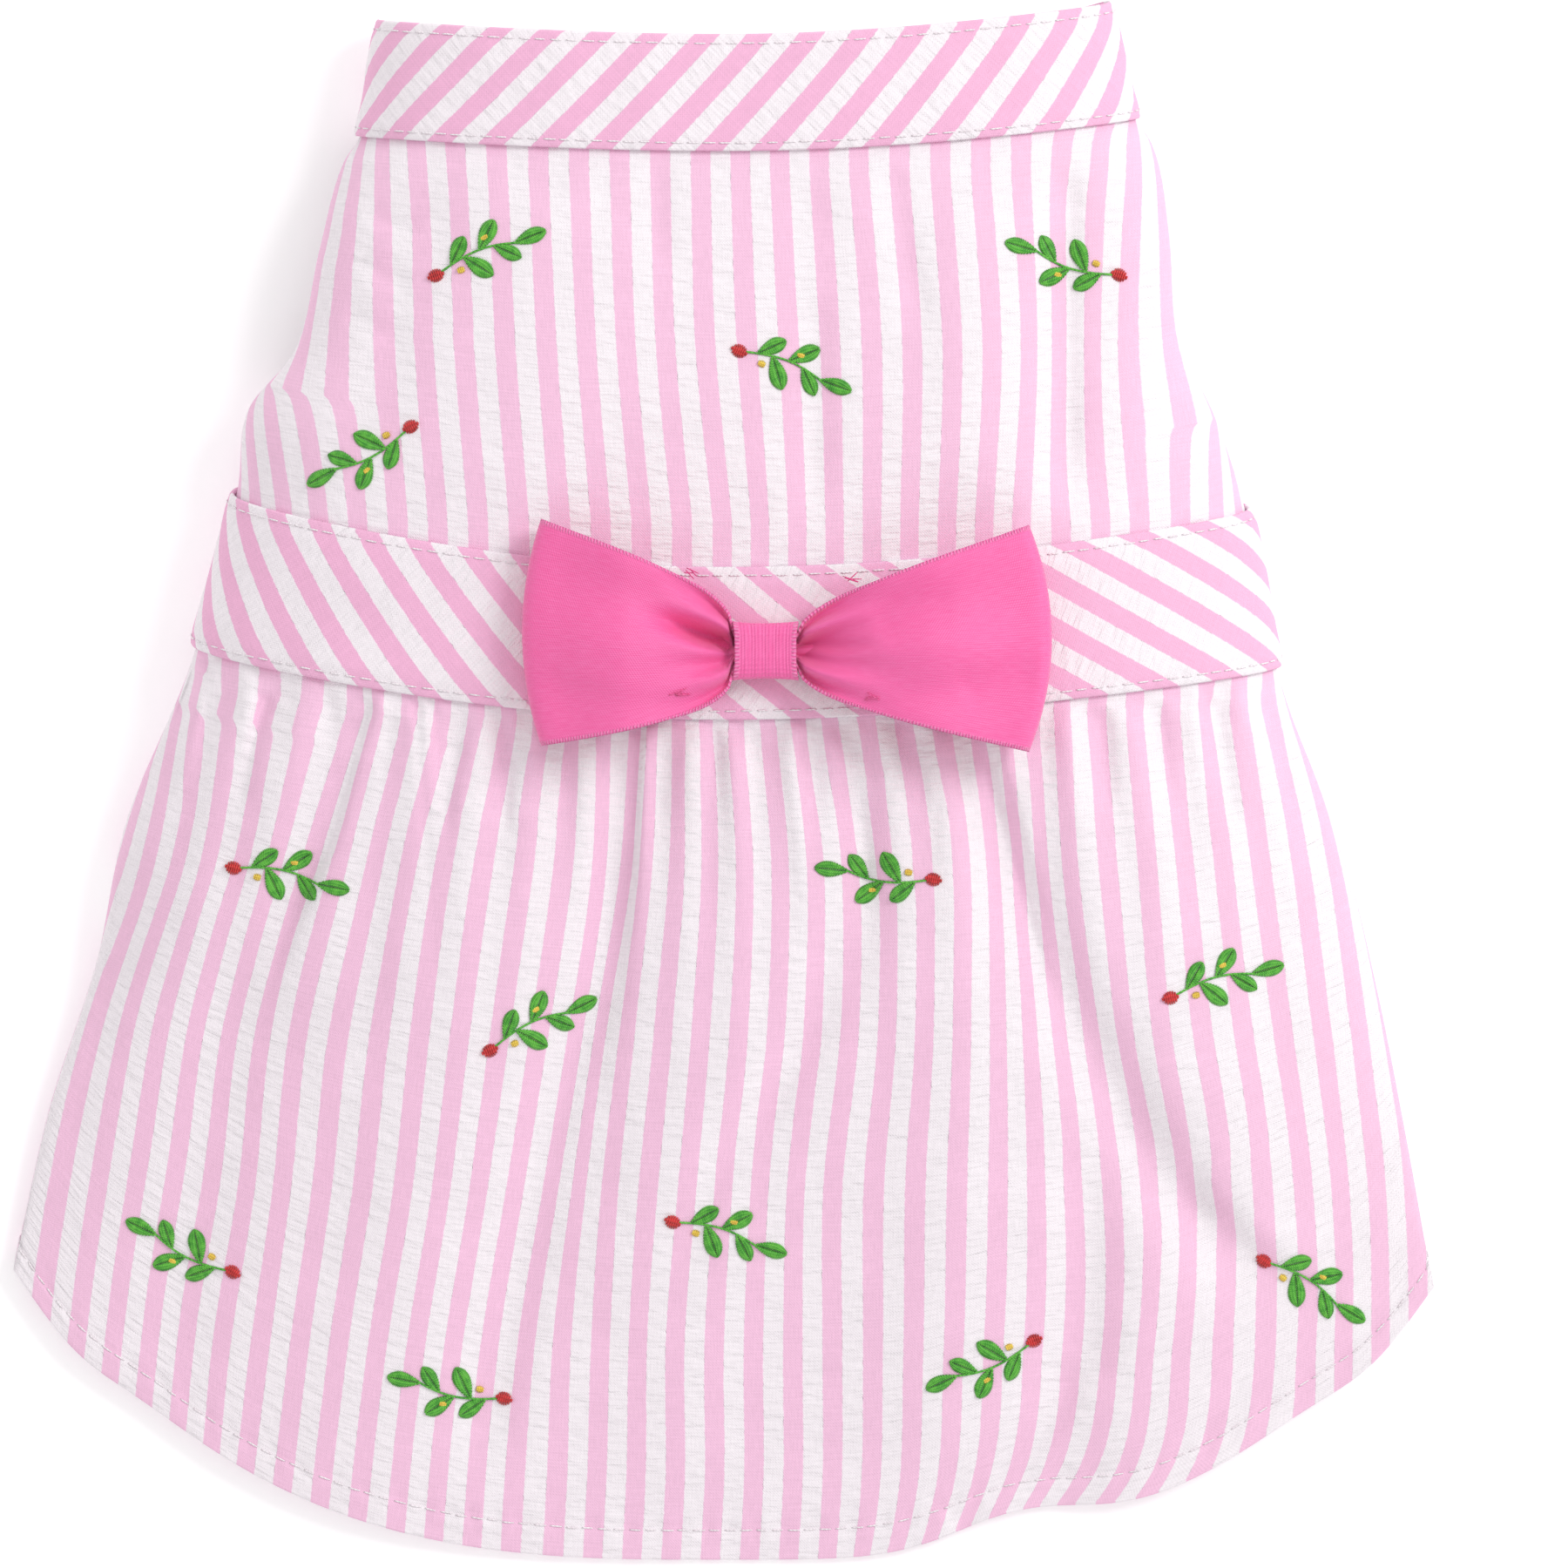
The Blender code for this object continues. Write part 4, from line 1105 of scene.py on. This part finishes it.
bowLook = {
    "ribbon": 0.0380,
    "wall": 0.00050,
    "shift": 0.0071,
    "drop": 0.0013,
    "height": 0.0105,
    "turn": 0.0032,
    "knotLength": 0.0106,
    "knotWidth": 0.0097,
    "knotHeight": 0.0064,
}
loopLooks = (
    {
        "node": "bow_loop_left",
        "piece": "bowLoopLeftRibbon",
        "side": -1,
        "reach": 0.0354,
        "rise": 0.082,
        "flare": 0.42,
        # depth, width on both sides, fading in and out, photo places
        "folds": (
            (-0.0044, 0.0017, 0.0014, 40, 1.5, ((843, 746), (812, 736), (770, 716), (725, 704))),
            (0.0013, 0.006, 0.0032, 6, 3, ((843, 772), (780, 789), (715, 784), (650, 764), (600, 750))),
            (-0.0006, 0.004, 0.004, 8, 4, ((830, 792), (775, 815), (690, 828), (620, 822))),
        ),
    },
    {
        "node": "bow_loop_right",
        "piece": "bowLoopRightRibbon",
        "side": 1,
        "reach": 0.0426,
        "rise": 0.055,
        "flare": 0.55,
        # depth, width on both sides, fading in and out, photo places
        "folds": (
            (-0.0044, 0.0014, 0.0014, 40, 1.4, ((912, 748), (940, 746), (975, 744), (1020, 740))),
            (0.0012, 0.0036, 0.006, 6, 3, ((915, 780), (962, 791), (1042, 779), (1122, 753), (1185, 735))),
            (-0.0006, 0.004, 0.003, 8, 4, ((1000, 720), (1045, 700), (1100, 690))),
            (-0.0007, 0.004, 0.004, 8, 4, ((1100, 800), (1150, 775), (1195, 770))),
        ),
    },
)


def bowPlace():
    d = distanceOf("waistBand", 0.5)
    top = clearance + valueAt("height", d) + clearance
    return bowLook["shift"], neckY - d - bowLook["drop"], top + gap


def makeLoop(loop):
    look = bowLook
    x0, y0, z0 = bowPlace()
    solidWall = 0.0010
    neckHalf = look["knotWidth"] / 2 - solidWall - 4 * gap
    lowNeck = z0 + solidWall + gap
    highNeck = z0 + look["knotHeight"] - solidWall - gap
    # the flat runs stop where the round end begins
    out = np.linspace(0, 1 - 0.76 * look["turn"] / loop["reach"], 34)
    low = [(-1.0, lowNeck)] + [(r, lowNeck - (solidWall + gap) * smooth(r * 2)) for r in out[:-1:2]]
    bend = []
    for angle in np.linspace(0.25, math.pi - 0.25, 14):
        share = 1 + look["turn"] / loop["reach"] * (math.sin(angle) - 1)
        bend.append((share, low[-1][1] + look["turn"] * (1 - math.cos(angle))))
    high = []
    for r in out[-2::-1]:
        crown = math.sin(math.pi / 2 * min(r / 0.55, 1.0)) ** 1.2
        fromNeck = highNeck + (z0 + look["height"] - highNeck) * crown
        high.append((r, fromNeck + (bend[-1][1] - fromNeck) * smooth((r - 0.5) / 0.5)))
    high.append((-1.0, highNeck))
    across = np.linspace(-1, 1, 61)
    points, onTop = [], []
    for i, (r, z) in enumerate(low + bend + high):
        share = max(r, 0.0)
        half = neckHalf + (look["ribbon"] / 2 - neckHalf) * share ** loop["flare"]
        reach = -look["knotLength"] / 2 + gap if r < 0 else share * loop["reach"]
        bulge = loop["reach"] * 0.09 * share**3 * across**2
        x = x0 + loop["side"] * (look["knotLength"] / 2 + reach - bulge)
        y = y0 + loop["rise"] * look["ribbon"] * share + half * across
        top = smooth((z - lowNeck) / (look["height"] - solidWall))
        # near the knot the ribbon is pleated, and its edges droop further out
        drawnIn = smooth(0.35 + share / 0.12) * (1 - smooth(share / 0.42))
        pleat = 0.0017 * np.cos(across * 11.0) * drawnIn * (1 if i >= len(low) else 0.6)
        droop = -0.0012 * top * np.abs(across) ** 3 * smooth(share / 0.4)
        crease = 0.0008 * top * share * (1 - share) * 4 * np.cos(2 * math.pi * across)
        points.append(np.stack([x, y, z + pleat + droop + crease], axis=1))
        onTop.append(smooth((i - len(low) - 6) / 8))
    points = np.array(points)
    relief = foldRelief(loop["folds"], points[:, :, 0], points[:, :, 1])
    points[:, :, 2] += relief * np.array(onTop)[:, None]
    points[:, :, 2] = np.maximum(points[:, :, 2], z0 + 0.0002)
    steps = np.linalg.norm(np.diff(points[:, 30], axis=0), axis=1)
    along = np.concatenate([[0], np.cumsum(steps)]) * 1000
    sideways = across * look["ribbon"] / 2 * 1000
    maps = np.stack(np.broadcast_arrays(along[:, None], sideways[None, :]), axis=-1)
    piece = gridMesh(loop["piece"], points, maps, ribbon, flip=loop["side"] > 0)
    thickenPiece(piece, look["wall"])
    return keepPiece(piece, (loop["node"],))


leftLoop, rightLoop = [makeLoop(loop) for loop in loopLooks]


def makeKnot():
    look = bowLook
    x0, y0, z0 = bowPlace()
    angles = np.linspace(0, 2 * math.pi, 97)[:-1]
    square = 0.62
    cosine, sine = np.cos(angles), np.sin(angles)
    y = np.sign(cosine) * np.abs(cosine) ** square * look["knotWidth"] / 2
    z = np.sign(sine) * np.abs(sine) ** square * look["knotHeight"] / 2
    centre = z0 + look["knotHeight"] / 2
    shares = np.linspace(-1, 1, 27)
    girth = np.concatenate([[0], np.cumsum(np.hypot(np.diff(y), np.diff(z)))]) * 1000
    points = np.zeros((len(angles), len(shares), 3))
    for j, share in enumerate(shares):
        pinch = 1 - 0.05 * (1 - share**2) + 0.02 * abs(share) ** 6
        points[:, j, 0] = x0 + share * look["knotLength"] / 2 + 0.0002 * share * np.cos(angles * 2)
        points[:, j, 1] = y0 + y * pinch
        points[:, j, 2] = centre + z * pinch
    # ribs run along the dress's width, where the narrow wrap is drawn tight
    ribs = 0.00007 * np.sin(girth[:, None] * 2 * math.pi / 0.85 + 0.5 * np.sin(shares[None, :] * 4))
    points = points - gridNormals(points) * ribs[:, :, None]
    maps = np.stack(np.broadcast_arrays(girth[:, None], shares[None, :] * 4.9), axis=-1)
    maps = np.concatenate([maps, maps[:1] + np.array([girth[-1] * 1.02, 0]) - maps[:1] * np.array([1, 0])])
    piece = gridMesh("bowKnotRibbon", points, maps, knotRibbon, closed=True, capped=False)
    thickenPiece(piece, look["wall"])
    return keepPiece(piece, ("bow_knot",))


bowKnot = makeKnot()
print("bow made")

# hidden hook-and-loop strips

fastenerLook = {"corner": 0.0022, "wall": 0.0010, "inset": 0.0001, "hooks": 0.00006}


def makeFastener(node, name):
    look = fastenerLook
    low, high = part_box(node)
    lows, highs = np.array(low), np.array(high)
    u = np.linspace(-1, 1, 28)
    v = np.linspace(-1, 1, 14)
    middle, half = (lows + highs) / 2, (highs - lows) / 2
    corner = look["corner"]
    points = np.zeros((len(v), len(u), 3))
    for i, row in enumerate(v):
        past = max(0.0, (abs(row) * half[1] - half[1] + corner) / corner)
        inset = corner * (1 - math.sqrt(max(0.0, 1 - past**2)))
        points[i, :, 0] = middle[0] + u * (half[0] - inset)
        points[i, :, 1] = middle[1] + row * half[1]
    hooks = np.sin(points[:, :, 0] * 5200) * np.sin(points[:, :, 1] * 5200)
    points[:, :, 2] = highs[2] - look["inset"] + look["hooks"] * hooks
    maps = points[:, :, :2] * 1000
    piece = gridMesh(name, points, maps, tape, flip=True)
    thickenPiece(piece, look["wall"])
    return keepPiece(piece, (node,))


makeFastener("neck_fastener", "neckFastenerTape")
makeFastener("belly_fastener", "bellyFastenerTape")
print("fasteners made")

# embroidered sprigs on the cloth

sprigLook = {
    "stem": 0.0135,
    "thread": 0.00021,
    "pitch": 0.00034,
    "rise": 0.00030,
    "places": (
        (560, 300, 18), (905, 430, -24), (1225, 300, 160), (420, 520, 205),
        (330, 1010, -15), (620, 1180, 22), (1010, 1000, 170), (1400, 1130, 12),
        (215, 1430, 150), (830, 1420, -20), (1130, 1560, 200), (1500, 1480, -35),
        (520, 1590, 165),
    ),
}
leaves = (
    # place along the stem, side, angle off it, length, width
    (0.16, 1, 48, 0.0052, 0.0026),
    (0.34, -1, 50, 0.0058, 0.0029),
    (0.55, 1, 46, 0.0056, 0.0028),
    (0.74, -1, 42, 0.0050, 0.0025),
    (1.00, 1, 4, 0.0056, 0.0026),
)


def meshTree(piece):
    data = piece.data
    corners = [tuple(vertex.co) for vertex in data.vertices]
    return BVHTree.FromPolygons(corners, [tuple(face.vertices) for face in data.polygons])


def archedLine(centre, reach, low, rise):
    # a thread laid from side to side, highest in its middle
    return [(*(centre + reach * q), low + rise * (1 - q * q)) for q in np.linspace(-1, 1, 5)]


def makeSprigs():
    trees = [meshTree(backPanelCloth), meshTree(skirtCloth)]
    look = sprigLook

    def onCloth(points, tree):
        placed = []
        for x, y, rise in points:
            hit = tree.ray_cast((x, y, 0.09), (0, 0, -1))
            placed.append((x, y, hit[0][2] + rise))
        return placed

    green, buds, dots = [], [], []
    for px, py, turn in look["places"]:
        tree = trees[0] if py < 650 else trees[1]
        cx, cy = photoPoint(px, py)
        angle = math.radians(turn)
        ahead = np.array([math.cos(angle), math.sin(angle)])
        sideways = np.array([-ahead[1], ahead[0]])

        def stemAt(t):
            bent = sideways * 0.0016 * math.sin(t * 2.6)
            return np.array([cx, cy]) + ahead * look["stem"] * (t - 0.6) + bent

        for t in np.arange(0, 1.0, 0.10):
            line = [stemAt(t + 0.16 * s) for s in np.linspace(0, 1, 5)]
            bow = np.sin(np.linspace(0, 1, 5) * math.pi) ** 0.5
            green.append(onCloth([(p[0], p[1], 0.00016 + 0.00008 * b) for p, b in zip(line, bow)], tree))
        for place, side, off, length, width in leaves:
            base = stemAt(place)
            heading = angle + side * math.radians(off)
            along = np.array([math.cos(heading), math.sin(heading)])
            across = np.array([-along[1], along[0]])
            for t in np.arange(0.04, 1.0, look["pitch"] / length):
                half = width / 2 * math.sin(math.pi * min(t, 1) ** 0.85) ** 0.8
                for hand in (-1, 1):
                    start = base + along * length * t + across * hand * 0.00005
                    finish = base + along * (length * t + half * 0.75) + across * hand * half
                    s = np.linspace(0, 1, 5)
                    arch = np.sin(np.radians(20) + s * np.radians(150))
                    line = [start + (finish - start) * q for q in s]
                    rises = 0.00005 + look["rise"] * arch
                    green.append(onCloth([(*spot, rise) for spot, rise in zip(line, rises)], tree))
        tip = stemAt(-0.06)
        for t in np.arange(-1, 1.01, 0.28):
            half = 0.0011 * math.sqrt(max(0.05, 1 - t * t))
            line = archedLine(tip + ahead * t * 0.0013, sideways * half, 0.00008, 0.0004)
            buds.append(onCloth(line, tree))
        for place, side in ((0.26, -1), (0.66, 1)):
            centre = stemAt(place) + sideways * side * 0.0017
            for t in (-0.8, -0.3, 0.2, 0.7):
                half = 0.00055 * math.sqrt(1 - t * t * 0.8)
                line = archedLine(centre + ahead * t * 0.0006, sideways * half, 0.0001, 0.0003)
                dots.append(onCloth(line, tree))
    pieces = [
        threadMesh("sprigLeaves", green, look["thread"], greenThread, sides=5),
        threadMesh("sprigBuds", buds, look["thread"], budThread, sides=5),
        threadMesh("sprigDots", dots, look["thread"], dotThread, sides=5),
    ]
    return [keepPiece(piece) for piece in pieces]


sprigs = makeSprigs()
print("sprigs made", [len(piece.data.polygons) for piece in sprigs])

# tacks that hold the bow's loops
tackLook = {"places": ((793, 660, -20), (978, 666, 15), (781, 797, 10), (998, 801, -10)), "length": 0.0028}


def makeTacks():
    trees = [meshTree(leftLoop), meshTree(rightLoop)]
    pick = np.random.default_rng(3)
    runs = []
    for px, py, turn in tackLook["places"]:
        tree = trees[0] if px < 880 else trees[1]
        cx, cy = photoPoint(px, py)
        for _ in range(4):
            angle = math.radians(turn + pick.uniform(-35, 35))
            length = tackLook["length"] * pick.uniform(0.5, 1.0)
            s = np.linspace(-0.5, 0.5, 6)
            shiftX, shiftY = pick.uniform(-0.0009, 0.0009), pick.uniform(-0.0004, 0.0004)
            line = []
            for q in s:
                x = cx + shiftX + math.cos(angle) * length * q
                y = cy + shiftY + math.sin(angle) * length * q
                hit = tree.ray_cast((x, y, 0.09), (0, 0, -1))
                z = hit[0][2] if hit[0] is not None else bowPlace()[2] + 0.004
                line.append((x, y, z + 0.00012 + 0.0002 * (0.25 - q * q) * 4))
            runs.append(line)
    return keepPiece(threadMesh("bowTacks", runs, 0.00010, pinkThread))


bowTacks = makeTacks()
print("tacks made")

# floor, light and camera

studioLook = {
    "floor": (0.96, 0.955, 0.957, 1),
    "worldStrength": 0.80,
    "keyPower": 22.0,
    "keySize": 1.0,
    "keyPlace": (1.45, 0.95, 1.55),
    # floorGlow: the floor glows by itself, painted light that keeps the dress's shadows on it pale
    "floorGlow": 0.22,
    "cameraHeight": 4.0,
    "frameSide": 0.2646,
}


def makeStudio():
    look = studioLook
    made = Nodes("studioFloor")
    coordinates = made.tree.nodes.new("ShaderNodeTexCoord").outputs["Object"]
    grain = made.noise(coordinates, 60.0, 3.0)
    tone = made.mix(made.mapRange(grain, 0.3, 0.7, 0.0, 0.06), look["floor"], (0.90, 0.90, 0.90, 1))
    # the floor's own glow is painted light, not a lamp; it pales the shadows cast on it
    made.shader.inputs["Emission Color"].default_value = (1, 1, 1, 1)
    made.shader.inputs["Emission Strength"].default_value = look["floorGlow"]
    floorFinish = made.finishWith(tone, made.mapRange(grain, 0.3, 0.7, 0.82, 0.9), None, specular=0.15)
    mesh = bpy.data.meshes.new("studioFloor")
    mesh.from_pydata([(-3, -3, 0), (3, -3, 0), (3, 3, 0), (-3, 3, 0)], [], [(0, 1, 2, 3)])
    mesh.materials.append(floorFinish)
    floor = bpy.data.objects.new("studioFloor", mesh)
    bpy.context.scene.collection.objects.link(floor)
    world = bpy.context.scene.world or bpy.data.worlds.new("studio")
    bpy.context.scene.world = world
    world.use_nodes = True
    background = world.node_tree.nodes["Background"]
    background.inputs[0].default_value = (1.0, 0.995, 1.0, 1)
    background.inputs[1].default_value = look["worldStrength"]
    light = bpy.data.lights.new("keyLight", "AREA")
    light.energy = look["keyPower"]
    light.shape = "DISK"
    light.size = look["keySize"]
    lamp = bpy.data.objects.new("keyLight", light)
    bpy.context.scene.collection.objects.link(lamp)
    place = np.array(look["keyPlace"])
    lamp.location = place
    lamp.rotation_euler = Vector(-place).to_track_quat("-Z", "Y").to_euler()
    camera = bpy.data.cameras.new("camera")
    camera.sensor_width = 36
    camera.lens = 36 * look["cameraHeight"] / look["frameSide"]
    camera.clip_end = 20
    eye = bpy.data.objects.new("camera", camera)
    eye.location = (0.0102, -0.00085, look["cameraHeight"])
    bpy.context.scene.collection.objects.link(eye)
    bpy.context.scene.camera = eye
    bpy.context.scene.view_settings.view_transform = "Standard"


makeStudio()
print("studio ready")
